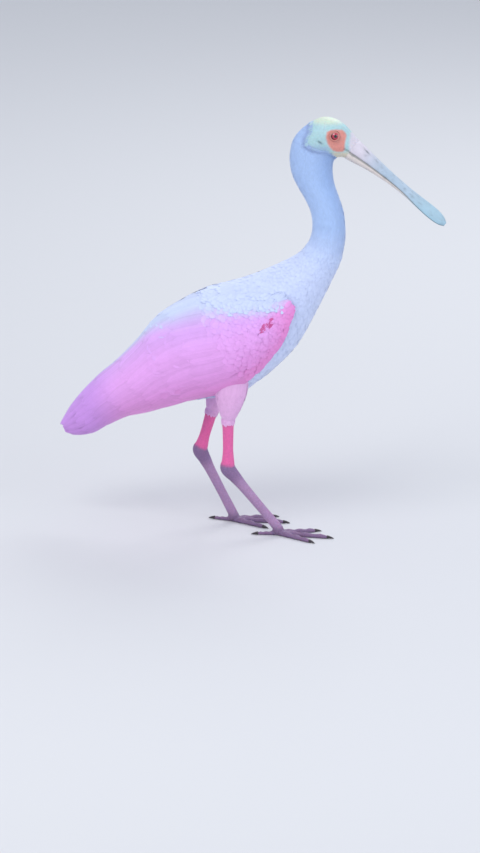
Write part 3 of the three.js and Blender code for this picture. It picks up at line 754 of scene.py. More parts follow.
def skin_parts():
    """Points and faces of body, legs and feet before they are fused, and marks to read them by."""
    steps = np.linspace(0, len(BODY) - 1, 190)
    angles = np.linspace(0, 2 * math.pi, 72, endpoint=False)
    t, angle = np.meshgrid(steps, angles, indexing="ij")
    surface = on_section(BODY, LEFT, t, angle)
    body = on_section(BODY, LEFT, t, angle, -coat_depth(surface, t) - 0.15)
    parts = [loft(body)]
    folded = np.where(angle > math.pi, 2 * math.pi - angle, angle)
    marks = [(body.reshape(-1, 3), np.stack([t.ravel(), folded.ravel(), t.ravel() * 0], axis=-1))]
    for name, leg in LEGS.items():
        side = SIDES[name]
        rings, station = leg_rings(leg, 120, 26, 1.8)
        parts.append(loft(rings))
        marks.append(leg_mark(rings, np.repeat(station, rings.shape[1])))
        knuckle = ball((leg["toe_joint"][0], leg["toe_joint"][1], 7.4), 7.1, (1, 1, 0.98))
        parts.append(knuckle)
        grown = [toe_rings(leg, side, toe) for toe in TOES]
        grown.append(web_rings(leg, side, "inner", "middle"))
        grown.append(web_rings(leg, side, "middle", "outer"))
        for rings in grown:
            parts.append(loft(rings))
            marks.append(leg_mark(rings, 14.0))
        marks.append(leg_mark(knuckle[0], 13.0))
    return merge(parts), marks


def leg_mark(spots, station):
    """Points of a leg with their stations, to colour the fused skin by."""
    spots = spots.reshape(-1, 3)
    return spots, np.stack(np.broadcast_arrays(station + np.zeros(len(spots)), 0, 1), axis=-1)


def read_marks(points, marks):
    """Section, angle and kind of the nearest mark to each point."""
    spots = np.vstack([spot for spot, _ in marks])
    values = np.vstack([value for _, value in marks])
    tree = kdtree.KDTree(len(spots))
    for index, spot in enumerate(spots):
        tree.insert(spot, index)
    tree.balance()
    found = np.array([tree.find(point)[1] for point in points])
    return values[found]


def fused(points, faces, voxel):
    """One closed surface round overlapping shells."""
    rough = make_object("rough", make_mesh("rough", points, faces), [])
    remesh = rough.modifiers.new("fuse", "REMESH")
    remesh.mode = "VOXEL"
    remesh.voxel_size = voxel
    soften = rough.modifiers.new("soften", "SMOOTH")
    soften.factor = 0.5
    soften.iterations = 2
    view = bpy.context.evaluated_depsgraph_get()
    mesh = bpy.data.meshes.new_from_object(rough.evaluated_get(view))
    bpy.data.objects.remove(rough)
    return mesh


def leg_colour(station, height):
    """Colours down a leg by station."""
    colour = mix(COLOURS["thigh"], COLOURS["shank"], ease(station, 3.6, 4.2))
    colour = mix(colour, COLOURS["heel"], ease(station, 7.1, 7.7))
    colour = mix(colour, COLOURS["tarsus"], ease(station, 8.8, 10))
    return mix(colour, COLOURS["foot"], ease(-height, -16, -7))


def eye_seat(side):
    """Point on the head over the eye, with directions forwards, upwards and outwards there."""
    steps = np.linspace(20, 26, 121)
    turns = np.radians(np.linspace(20, 150, 131))
    t, angle = np.meshgrid(steps, turns, indexing="ij")
    x, _, z = design(on_section(BODY, side, t, angle))
    nearest = np.argmin(np.hypot(x - EYE["x"], z - EYE["z"]))
    t, angle = t.ravel()[nearest], angle.ravel()[nearest]
    spot, _, _, normal = surface_frame(BODY, side, np.array([t]), np.array([angle]))
    forward = unit(TOWARDS_BILL - normal[0] * (TOWARDS_BILL @ normal[0]))
    upward = np.cross(normal[0], forward) * -side
    return spot[0], forward, upward, normal[0]


def lid_shape(side):
    """Soft ring of skin round the eye opening."""
    seat, forward, upward, outward = eye_seat(side)
    turn = np.linspace(0, 2 * math.pi, 56, endpoint=False)[:, None]
    round_it = np.linspace(0, 2 * math.pi, 16, endpoint=False)[None, :]
    reach = LID_RING + LID_THICK * np.cos(round_it) * (1.1 + 0.25 * np.sin(turn))
    ahead = reach * np.cos(turn)
    above = reach * np.sin(turn) * 0.9
    out = LID_THICK * np.sin(round_it) + 0.5 + 0 * turn
    spots = seat + (ahead[..., None] * forward + above[..., None] * upward + out[..., None] * outward) / 1000
    count, sides = spots.shape[:2]
    row = np.arange(count)[:, None]
    column = np.arange(sides)[None, :]
    beyond = (row + 1) % count
    beside = (column + 1) % sides
    corners = [row * sides + column, row * sides + beside, beyond * sides + beside, beyond * sides + column]
    faces = np.stack([corner.ravel() for corner in corners], axis=-1).tolist()
    return spots.reshape(-1, 3), faces


def ear_closeness(points):
    """1 in the middle of an ear slit and 0 away from it."""
    x, y, z = design(points)
    tilt = math.radians(EAR["tilt"])
    along = (x - EAR["x"]) * math.cos(tilt) - (z - EAR["z"]) * math.sin(tilt)
    over = (x - EAR["x"]) * math.sin(tilt) + (z - EAR["z"]) * math.cos(tilt)
    reach = (along / (EAR["length"] / 2)) ** 2 + (over / (EAR["height"] / 2)) ** 2
    return np.exp(-reach) * (np.abs(y) > 12)


def shape_face(mesh):
    """Presses in the ear slits and the crease behind the bill and raises the brow."""
    points = mesh_points(mesh)
    normals = np.zeros(len(points) * 3, np.float32)
    mesh.vertex_normals.foreach_get("vector", normals)
    normals = normals.reshape(-1, 3)
    x, y, z = design(points)
    above_eye = z - EYE["z"]
    from_eye = np.hypot(x - EYE["x"], above_eye)
    beside = np.abs(y) > 9
    brow = np.exp(-(((from_eye - 9.2) / 1.8) ** 2)) * beside * ease(above_eye, -4, 3)
    hollow = np.exp(-(((from_eye - 11.5) / 2.6) ** 2)) * beside * ease(-above_eye, 1, 6)
    move = 0.55 * brow - 0.7 * hollow - 1.9 * ear_closeness(points) - 0.9 * gape_closeness(points)
    points = points + normals * (move / 1000)[:, None]
    points[:, 2] = np.maximum(points[:, 2], 0)
    mesh.vertices.foreach_set("co", points.astype(np.float32).ravel())
    mesh.update()


class SPOONBILL_OT_skin(bpy.types.Operator):
    """Makes the skin of head, neck, body, legs and feet as one surface"""

    bl_idname = "spoonbill.skin"
    bl_label = "Skin"

    def execute(self, context):
        sizes = read_settings(context)
        (points, faces), marks = skin_parts()
        mesh = fused(points, faces, sizes.skin_grain)
        shape_face(mesh)
        places = mesh_points(mesh)
        t, angle, kind = read_marks(places, marks).T
        colours = body_colour(places, t, angle)
        colours = mix(colours, COLOURS["ear"], ear_closeness(places) * (kind < 0.5))
        legs = leg_colour(t, places[:, 2] * 1000)
        colours = np.where((kind > 0.5)[:, None], legs, colours)
        set_colours(mesh, colours)
        scaly = np.where(kind > 0.5, 0.12 + 0.88 * ease(t, 6.8, 7.6), 0)
        set_values(mesh, scaly, "scaly")
        mesh.materials.clear()
        skin = make_object("skin", mesh, [skin_material()])
        mesh.shade_smooth()
        lid_points, lid_faces = merge([lid_shape(side) for side in SIDES.values()])
        lid_mesh = make_mesh("lids", lid_points, lid_faces)
        set_colours(lid_mesh, mix(COLOURS["face"], COLOURS["eye_rim"], np.full(len(lid_points), 0.25)))
        set_values(lid_mesh, np.zeros(len(lid_points)), "scaly")
        lid_piece = make_object("lids", lid_mesh, [mesh.materials[0]])
        join_into(skin, lid_piece)
        flesh = ["torso", "neck_lower", "neck_middle", "neck_upper", "head"]
        for part in ("thigh", "shank", "tarsus", "foot"):
            flesh += [f"{part}_{name}" for name in SIDES]
        dressed(skin, "head_skin", *flesh)
        return {"FINISHED"}


def join_into(target, other):
    """Joins a mesh object into the first one."""
    both = [target, other]
    with bpy.context.temp_override(active_object=target, selected_editable_objects=both):
        bpy.ops.object.join()


# Small plumage laid by Geometry Nodes


def tuft_mesh(name, stations):
    """Closed small feather, one long and one wide, three sided, with its tip at +X."""
    rings = []
    along = []
    across = []
    for s, half, rise, thick in stations[:-1]:
        rings.append([(s, -half, rise), (s, half, rise), (s, 0, rise + thick)])
        along += [s] * 3
        across += [-half, half, 0]
    tip_s, _, tip_rise, _ = stations[-1]
    points = np.array([p for ring in rings for p in ring] + [(tip_s, 0, tip_rise)], float)
    along.append(tip_s)
    across.append(0)
    faces = [[2, 1, 0]]
    for k in range(len(rings) - 1):
        for j in range(3):
            a, b = 3 * k + j, 3 * k + (j + 1) % 3
            faces.append([a, b, b + 3, a + 3])
    last = 3 * (len(rings) - 1)
    tip = len(points) - 1
    for j in range(3):
        faces.append([last + j, last + (j + 1) % 3, tip])
    mesh = make_mesh(name, points, faces, rimmed=True)
    set_values(mesh, along, "along")
    set_values(mesh, across, "across")
    return mesh


# Stations of a small feather: share of length, half width, level of its underside, thickness
HAIR_FEATHER = [(0, 0.3, 0, 0.3), (0.5, 0.5, 0.2, 0.4), (1, 0, 0, 0)]
BODY_FEATHER = [
    (0, 0.24, 0, 0.3),
    (0.4, 0.47, 0.25, 0.4),
    (0.76, 0.45, 0.18, 0.3),
    (0.93, 0.27, 0.08, 0.15),
    (1, 0, 0, 0),
]


def input_socket(group, name):
    """Identifier of a node group's input."""
    for item in group.interface.items_tree:
        if item.item_type == "SOCKET" and item.in_out == "INPUT" and item.name == name:
            return item.identifier
    raise RuntimeError(f"the node group has no input named {name}")


def feather_tree():
    """Geometry Nodes tree that lays one feather on every root point along its lie."""
    group = bpy.data.node_groups.new("Lay feathers", "GeometryNodeTree")
    face = group.interface
    face.new_socket("Roots", in_out="INPUT", socket_type="NodeSocketGeometry")
    face.new_socket("Feather", in_out="INPUT", socket_type="NodeSocketObject")
    face.new_socket("Material", in_out="INPUT", socket_type="NodeSocketMaterial")
    face.new_socket("Length", in_out="INPUT", socket_type="NodeSocketFloat").default_value = 1.0
    face.new_socket("Uneven", in_out="INPUT", socket_type="NodeSocketFloat").default_value = 0.15
    face.new_socket("Seed", in_out="INPUT", socket_type="NodeSocketInt").default_value = SEED
    face.new_socket("Feathers", in_out="OUTPUT", socket_type="NodeSocketGeometry")
    nodes, links = group.nodes, group.links
    enter = nodes.new("NodeGroupInput")
    leave = nodes.new("NodeGroupOutput")
    shape = nodes.new("GeometryNodeObjectInfo")
    links.new(enter.outputs["Feather"], shape.inputs["Object"])
    points = nodes.new("GeometryNodeMeshToPoints")
    links.new(enter.outputs["Roots"], points.inputs["Mesh"])
    laid = nodes.new("GeometryNodeInstanceOnPoints")
    links.new(points.outputs["Points"], laid.inputs["Points"])
    links.new(shape.outputs["Geometry"], laid.inputs["Instance"])
    turn = nodes.new("FunctionNodeAxesToRotation")
    turn.primary_axis = "X"
    turn.secondary_axis = "Z"
    for socket, attribute in ((turn.inputs[0], "lie"), (turn.inputs[1], "outward")):
        read = nodes.new("GeometryNodeInputNamedAttribute")
        read.data_type = "FLOAT_VECTOR"
        read.inputs["Name"].default_value = attribute
        links.new(read.outputs["Attribute"], socket)
    links.new(turn.outputs[0], laid.inputs["Rotation"])
    size = nodes.new("GeometryNodeInputNamedAttribute")
    size.data_type = "FLOAT_VECTOR"
    size.inputs["Name"].default_value = "size"
    spread = nodes.new("FunctionNodeRandomValue")
    links.new(enter.outputs["Seed"], spread.inputs["Seed"])
    links.new(add_math(nodes, links, "SUBTRACT", 1.0, enter.outputs["Uneven"]), spread.inputs[2])
    links.new(add_math(nodes, links, "ADD", 1.0, enter.outputs["Uneven"]), spread.inputs[3])
    factor = add_math(nodes, links, "MULTIPLY", spread.outputs[1], enter.outputs["Length"])
    scaled = add_scale(nodes, links, size.outputs["Attribute"], factor)
    links.new(scaled, laid.inputs["Scale"])
    real = nodes.new("GeometryNodeRealizeInstances")
    links.new(laid.outputs["Instances"], real.inputs["Geometry"])
    painted = nodes.new("GeometryNodeSetMaterial")
    links.new(real.outputs["Geometry"], painted.inputs["Geometry"])
    links.new(enter.outputs["Material"], painted.inputs["Material"])
    links.new(painted.outputs["Geometry"], leave.inputs["Feathers"])
    return group


def set_vectors(mesh, name, values):
    """One vector for each point, kept as an attribute."""
    layer = mesh.attributes.new(name, "FLOAT_VECTOR", "POINT")
    layer.data.foreach_set("vector", np.asarray(values, np.float32).ravel())


def read_floats(mesh, name, width=1):
    """Values of a point attribute as an array."""
    layer = mesh.attributes[name]
    values = np.zeros(len(mesh.vertices) * width, np.float32)
    layer.data.foreach_get({1: "value", 3: "vector"}[width], values)
    return values.reshape(-1, width) if width > 1 else values


TUFT_PATCH = 0.003              # size of one feather's patch on the bake map
SHORTEST_FEATHER = 1.5          # millimetres, shorter ones are left out


def set_bake_map(mesh, root_u, root_v, across, along):
    """UV map with a small patch for each feather at its root's place on the unwrapped skin."""
    u = 0.02 + 0.955 * root_u + TUFT_PATCH * across
    v = 0.02 + 0.955 * root_v + TUFT_PATCH * along
    corner = np.zeros(len(mesh.loops), np.int32)
    mesh.loops.foreach_get("vertex_index", corner)
    layer = mesh.uv_layers.new(name="OFBake")
    layer.data.foreach_set("uv", np.stack([u[corner], v[corner]], axis=-1).astype(np.float32).ravel())


def lay_coat(name, roots, shape, material, slot, sizes):
    """Lays feathers on root points as a finished piece."""
    seedbed = bpy.data.meshes.new(name + "_roots")
    seedbed.from_pydata(roots["spot"].tolist(), [], [])
    set_vectors(seedbed, "lie", roots["lie"])
    set_vectors(seedbed, "outward", roots["outward"])
    set_vectors(seedbed, "size", roots["size"] / 1000)
    set_vectors(seedbed, "root_uv", roots["uv"])
    set_colours(seedbed, roots["tint"])
    feather = bpy.data.objects.new(name + "_shape", shape)
    field = make_object(name + "_field", seedbed, [])
    tree = bpy.data.node_groups.get("Lay feathers") or feather_tree()
    modifier = field.modifiers.new("feathers", "NODES")
    modifier.node_group = tree
    modifier[input_socket(tree, "Feather")] = feather
    modifier[input_socket(tree, "Material")] = material
    modifier[input_socket(tree, "Length")] = sizes.feather_length
    modifier[input_socket(tree, "Uneven")] = sizes.feather_spread
    modifier[input_socket(tree, "Seed")] = SEED
    view = bpy.context.evaluated_depsgraph_get()
    mesh = bpy.data.meshes.new_from_object(field.evaluated_get(view))
    bpy.data.objects.remove(field)
    bpy.data.objects.remove(feather)
    if len(mesh.polygons) == 0:
        raise RuntimeError(f"no feathers were laid for {name}")
    mesh.name = name
    root_uv = read_floats(mesh, "root_uv", 3)
    set_bake_map(mesh, root_uv[:, 0], root_uv[:, 1], read_floats(mesh, "across"), read_floats(mesh, "along"))
    for spare in ("lie", "outward", "size", "root_uv"):
        if spare in mesh.attributes:
            mesh.attributes.remove(mesh.attributes[spare])
    dressed(make_object(name, mesh, []), slot)


def scatter(rows, side_list, t_range, rng, spacing, length_of, width_of, colour_of, angle_of, level,
            thick=0.8, keep=None, out_of=None):
    """Root points in rows from front to rear, each aimed at its feather's tip on the surface.

    Spacing, length, width and the first and last angle are functions of the section t. Level
    holds the heights of root and tip over the surface, which out_of may raise or lower.
    """
    gathered = {"spot": [], "lie": [], "outward": [], "size": [], "uv": [], "tint": []}
    t = t_range[1]
    row_number = 0
    while t > t_range[0]:
        near = on_section(rows, LEFT, np.array([t, t - 0.1] * 2), np.array([0, 0, math.pi, math.pi]))
        per_section = 10000 * max(np.linalg.norm(near[0] - near[1]), np.linalg.norm(near[2] - near[3]))
        first, last = angle_of(t)
        ring = on_section(rows, LEFT, np.full(60, t), np.linspace(first, last, 60))
        girth = np.linalg.norm(np.diff(ring, axis=0), axis=1).sum() * 1000
        gap = spacing(t)
        count = max(2, int(girth / gap))
        for side in side_list:
            share = (np.arange(count) + 0.5 * (row_number % 2) + rng.uniform(-0.3, 0.3, count)) / count
            angle = first + (last - first) * np.clip(share, 0, 1)
            root_t = t + rng.uniform(-0.35, 0.35, count) * gap / per_section
            length = length_of(root_t) * rng.uniform(0.88, 1.1, count)
            tip_t = root_t - length / per_section
            tip_angle = angle + rng.normal(0, 0.07, count) * length * (last - first) / girth
            base = out_of(root_t, angle) if out_of else 0.0
            spot = on_section(rows, side, root_t, angle, base + level[0])
            tip = on_section(rows, side, tip_t, tip_angle, base + level[1])
            reach = np.linalg.norm(tip - spot, axis=-1) * 1000
            normal = surface_frame(rows, side, (root_t + tip_t) / 2, angle)[3]
            chosen = reach > SHORTEST_FEATHER
            if keep:
                chosen &= keep(spot, root_t, angle)
            wide = width_of(root_t) + 0 * angle
            tint = colour_of(spot, root_t, angle) * rng.uniform(0.965, 1.03, count)[:, None]
            shown_turn = angle if side == LEFT else 2 * math.pi - angle
            uv = np.stack([root_t / (len(rows) - 1), shown_turn / (2 * math.pi), angle * 0], axis=-1)
            size = np.stack([reach, wide, wide * 0 + thick], axis=-1)
            for key, values in zip(gathered, (spot, unit(tip - spot), normal, size, uv, tint)):
                gathered[key].append(values[chosen])
        t -= gap / per_section
        row_number += 1
    return {key: np.vstack(values) for key, values in gathered.items()}


def covered_by_wing(t, angle):
    """True where a folded wing hides the body."""
    wing_t = t + BODY_TO_WING
    index = np.arange(len(WING))
    top = np.interp(wing_t, index, WING_TOP)
    low = np.interp(wing_t, index, WING[:, 5])
    degrees = np.degrees(angle)
    beside = (wing_t < 11.6) & (degrees > top + 10) & (degrees < low - 12)
    return beside | ((wing_t < 8.2) & (degrees < low - 12))


class SPOONBILL_OT_neck_feathers(bpy.types.Operator):
    """Lays the short soft feathers of nape, throat and neck"""

    bl_idname = "spoonbill.neck_feathers"
    bl_label = "Neck feathers"

    def execute(self, context):
        sizes = read_settings(context)
        rng = np.random.default_rng(SEED)
        roots = scatter(
            BODY, (RIGHT, LEFT), (9.2, 24.5), rng,
            spacing=lambda t: sizes.neck_spacing * 1000 * (1 - 0.25 * float(ease(t, 15, 20))),
            length_of=lambda t: 13 - 6.5 * ease(t, 14, 20),
            width_of=lambda t: 3.2 - 1.2 * ease(t, 14, 20),
            colour_of=body_colour,
            angle_of=lambda t: (0, math.pi),
            level=(-1.0, 0.15),
            thick=0.55,
            keep=lambda spot, t, angle: bare_depth(spot) < 0.3,
            out_of=lambda t, angle: -coat_depth(on_section(BODY, LEFT, t, angle), t) + 0.5,
        )
        shape = tuft_mesh("neck_feather", HAIR_FEATHER)
        material = plumage_material("Neck plumage", 0.95, 0)
        lay_coat("neck_feathers", roots, shape, material, "neck_feathers", sizes)
        return {"FINISHED"}


class SPOONBILL_OT_body_feathers(bpy.types.Operator):
    """Lays the rounded feathers of back, breast and belly"""

    bl_idname = "spoonbill.body_feathers"
    bl_label = "Body feathers"

    def execute(self, context):
        sizes = read_settings(context)
        rng = np.random.default_rng(SEED + 1)
        shape = tuft_mesh("body_feather", BODY_FEATHER)
        material = plumage_material("Body plumage", 0.93, 0)
        halves = {"back_feathers": (0, math.pi / 2), "breast_feathers": (math.pi / 2, math.pi)}
        for name, angles in halves.items():
            roots = scatter(
                BODY, (RIGHT, LEFT), (0.15, 10.6), rng,
                spacing=lambda t: sizes.body_spacing * 1000 * (1 - 0.25 * float(ease(t, 7, 10.5))),
                length_of=lambda t: 23 - 9.5 * ease(t, 5, 10.5),
                width_of=lambda t: 9.5 - 5.6 * ease(t, 5, 10.5),
                colour_of=body_colour,
                angle_of=lambda t, angles=angles: angles,
                level=(-1.6, 0.3),
                keep=lambda spot, t, angle: ~covered_by_wing(t, angle),
                out_of=lambda t, angle: -coat_depth(on_section(BODY, LEFT, t, angle), t) + 0.9,
            )
            lay_coat(name, roots, shape, material, "body_feathers", sizes)
        return {"FINISHED"}


class SPOONBILL_OT_loose_feathers(bpy.types.Operator):
    """Lays scapulars from the mantle over the wings' upper edges, and loose belly feathers"""

    bl_idname = "spoonbill.loose_feathers"
    bl_label = "Scapulars and belly fluff"

    def execute(self, context):
        sizes = read_settings(context)
        rng = np.random.default_rng(SEED + 12)
        shape = tuft_mesh("scapular", BODY_FEATHER)
        material = plumage_material("Loose plumage", 0.94, 0)
        scapulars = scatter(
            WING, (RIGHT, LEFT), (8.7, 11.9), rng,
            spacing=lambda t: sizes.body_spacing * 1000,
            length_of=lambda t: 30 - 13 * ease(t, 9, 11.8),
            width_of=lambda t: 9 - 4 * ease(t, 9, 11.8),
            colour_of=lambda spot, t, angle: wing_colour(t, angle * 0.8),
            angle_of=self.scapular_angles,
            level=(-3.8, 0.3),
            out_of=self.scapular_drop,
        )
        lay_coat("scapulars", scapulars, shape, material, "wing_feathers", sizes)
        fluff = scatter(
            BODY, (RIGHT, LEFT), (2.2, 5.2), rng,
            spacing=lambda t: 4.5,
            length_of=lambda t: 24,
            width_of=lambda t: 5.5,
            colour_of=body_colour,
            angle_of=lambda t: (math.radians(148), math.pi),
            level=(-2.5, 2.6),
            thick=0.7,
        )
        lay_coat("belly_fluff", fluff, shape, material, "body_feathers", sizes)
        return {"FINISHED"}

    @staticmethod
    def scapular_drop(t, angle):
        """Lowers the inner feathers on to the back, which lies inside the wings' envelope."""
        inner = np.maximum(np.interp(t, np.arange(len(WING)), WING_TOP) - 15, 5)
        return -1.7 * (1 - ease(np.degrees(angle) - inner, 0, 20)) * ease(t, 9.0, 9.6)

    @staticmethod
    def scapular_angles(t):
        """Band along a wing's upper edge, reaching the ridge behind the mantle."""
        edge = math.degrees(float(wing_edge_angle(t, 0.0)))
        start = 5 if t < 9.7 else edge - 15
        return math.radians(start), math.radians(edge + 9)


class SPOONBILL_OT_thigh_feathers(bpy.types.Operator):
    """Lays the loose feathers of the thighs"""

    bl_idname = "spoonbill.thigh_feathers"
    bl_label = "Thigh feathers"

    def execute(self, context):
        sizes = read_settings(context)
        rng = np.random.default_rng(SEED + 2)
        shape = tuft_mesh("thigh_feather", BODY_FEATHER)
        material = plumage_material("Thigh plumage", 0.95, 0)
        for name, leg in LEGS.items():
            rings, station = leg_rings(leg, 121, 48, 1.8)
            down = np.gradient(rings, axis=0)
            round_it = np.roll(rings, -1, axis=1) - np.roll(rings, 1, axis=1)
            normal = unit(np.cross(round_it, down))
            middle = rings.mean(axis=1, keepdims=True)
            normal = normal * np.sign((normal * (rings - middle)).sum(-1, keepdims=True))
            step = np.linalg.norm(np.diff(rings.mean(axis=1), axis=0), axis=1).mean() * 1000
            count = 5200
            ring_index = rng.integers(0, 36, count)
            around = rng.integers(0, 48, count)
            s = station[ring_index]
            length = (17 - 9 * ease(s, 1.5, 4)) * rng.uniform(0.85, 1.1, count)
            far_index = np.minimum(ring_index + np.round(length / step).astype(int), 41)
            spot = rings[ring_index, around] - normal[ring_index, around] * 0.0007
            far_around = (around + rng.integers(-1, 2, count)) % 48
            tip = rings[far_index, far_around] + normal[far_index, far_around] * 0.0008
            wide = 5.4 - 2.8 * ease(s, 1.5, 4)
            tint = COLOURS["thigh"] * rng.uniform(0.96, 1.03, count)[:, None]
            band = 0.1 if name == "right" else 0.6
            uv = np.stack([s / 14, band + 0.35 * around / 48, s * 0], axis=-1)
            reach = np.linalg.norm(tip - spot, axis=-1) * 1000
            roots = {
                "spot": spot, "lie": unit(tip - spot), "outward": normal[ring_index, around],
                "size": np.stack([reach, wide, wide * 0 + 0.7], axis=-1), "uv": uv, "tint": tint,
            }
            lay_coat(f"thigh_feathers_{name}", roots, shape, material, "thigh_feathers", sizes)
        return {"FINISHED"}


# Wings and tail


def vane_outline(s):
    """Share of a long feather's width at share s of its length."""
    root = np.clip(s / 0.16, 0, 1) ** 0.6
    tip = np.sqrt(np.clip(1 - np.clip((s - 0.72) / 0.285, 0, 1) ** 2.2, 0, 1))
    return np.maximum(root * tip, 0.02)


VANE_TOP = np.array([-1, -0.66, -0.3, -0.07, 0, 0.07, 0.3, 0.66, 1], float)
VANE_UNDER = np.array([0.5, -0.5], float)


def wing_vane(side, root, tip, half, levels, steps=15):
    """A long feather that lies on the wing's envelope; returns points, faces and its marks."""
    s = np.linspace(0, 1, steps)
    t = root[0] + (tip[0] - root[0]) * s
    angle = root[1] + (tip[1] - root[1]) * s
    wide = half * vane_outline(s)
    level = levels[0] + (levels[1] - levels[0]) * ease(s, 0, 0.45)
    left = on_section(WING, LEFT, t, angle - 0.01)
    right = on_section(WING, LEFT, t, angle + 0.01)
    per_radian = np.linalg.norm(right - left, axis=-1) * 1000 / 0.02
    u = np.concatenate([VANE_TOP, VANE_UNDER])
    cup = np.concatenate([-0.3 * VANE_TOP**2, VANE_UNDER * 0 - 0.32])
    shaft = np.exp(-((u / 0.05) ** 2)) * np.concatenate([VANE_TOP * 0 + 0.22, [0, 0]])
    grid_t = np.broadcast_to(t[:, None], (steps, len(u)))
    grid_angle = angle[:, None] + u[None, :] * (wide / np.maximum(per_radian, 3))[:, None]
    grid_out = level[:, None] + cup[None, :] + shaft[None, :] * (1 - s[:, None])
    spots = on_section(WING, side, grid_t, grid_angle, grid_out)
    points, faces = loft(spots)
    marks = {
        "t": grid_t.ravel(), "angle": grid_angle.ravel(),
        "along": np.repeat(s, len(u)), "across": np.tile(u, steps),
        "barb": (np.abs(np.tile(u, steps)) * np.repeat(wide, len(u)) * 5.5
                 - np.repeat(s, len(u)) * 60.0 * 5.5),
        "root_t": np.full(points.shape[0], t[0]), "root_angle": np.full(points.shape[0], angle[0]),
    }
    return points, faces, marks


LAST_TIP = 0.12                 # section that the rearmost tips reach

# Rows of long wing feathers: count, root sections of the upper and lower feather, their tip
# sections, shares across the wing, half width and level of the tip in millimetres
WING_ROWS = [
    (15, (8.6, 9.6), (6.5, 7.6), (0.03, 0.975), 8, 0.35),
    (15, (7.8, 8.8), (5.3, 6.5), (0.03, 0.98), 8, 0.1),
    (15, (6.7, 7.8), (3.9, 5.4), (0.03, 0.985), 8, -0.15),
    (14, (5.4, 6.8), (2.5, 4.2), (0.03, 0.98), 7.6, -0.4),
    (12, (4.3, 5.5), (1.4, 3.0), (0.04, 0.975), 7, -0.65),
    (10, (3.3, 4.3), (0.6, 1.8), (0.05, 0.96), 5.8, -0.9),
    (7, (2.3, 2.9), (0.13, 0.6), (0.06, 0.95), 4.6, -1.1),
]


def wing_shell(side):
    """Closed body of the folded wing under its feathers."""
    steps = np.linspace(0.3, 11.9, 70)
    index = np.arange(len(WING))
    top = np.radians(np.interp(steps, index, WING_TOP) * ease(steps, 9.3, 10.2))
    low = np.radians(np.interp(steps, index, WING[:, 5]) - 5)
    share = np.linspace(0, 1, 22)
    angle = top[:, None] + (low - top)[:, None] * share
    t = np.broadcast_to(steps[:, None], angle.shape)
    outer = on_section(WING, side, t, angle, -1.7)
    inner = on_section(WING, side, t, angle, -4.6 - 5 * (1 - ease(t, 0.6, 1.8)))
    return loft(np.concatenate([outer, inner[:, ::-1]], axis=1)), t, angle


def wing_edge_angle(t, share):
    """Angle at a share of the way from the wing's upper to its lower edge."""
    index = np.arange(len(WING))
    top = np.interp(t, index, WING_TOP)
    low = np.interp(t, index, WING[:, 5])
    return np.radians(top + (low - top) * share)


def wing_edges(t):
    """Angles of a wing's upper and lower edge."""
    return float(wing_edge_angle(t, 0.0)), float(wing_edge_angle(t, 1.0))


def wing_feather_parts(side, rng):
    """All long feathers of one wing with their marks."""
    parts, marks = [], []
    for count, roots, tips, across_range, half_width, level in WING_ROWS:
        for k in range(count):
            s = k / (count - 1)
            share = across_range[0] + (across_range[1] - across_range[0]) * s
            root_t = roots[0] + (roots[1] - roots[0]) * s
            tip_t = tips[0] + (tips[1] - tips[0]) * s + rng.uniform(-0.16, 0.16)
            tip_t = max(tip_t, LAST_TIP)
            root = (root_t, float(wing_edge_angle(root_t, share * 0.95 + 0.02)))
            tip = (tip_t, float(wing_edge_angle(tip_t, share + rng.uniform(-0.012, 0.012))))
            lift = level + 0.3 * ((k * 2) % 3) / 2
            half = half_width * rng.uniform(0.92, 1.08)
            points, faces, mark = wing_vane(side, root, tip, half, (-3.2, lift))
            across = np.abs(mark["across"])
            # Painted shade: each vane darkens towards its edges. The paler line along the shaft is the
            # shaft's own colour.
            line = 1 - 0.07 * ease(across, 0.75, 1) + 0.05 * ease(-across, -0.08, 0)
            mark["tint"] = wing_colour(mark["t"], mark["angle"]) * (line * rng.uniform(0.94, 1.03))[:, None]
            parts.append((points, faces))
            marks.append(mark)
    return parts, marks


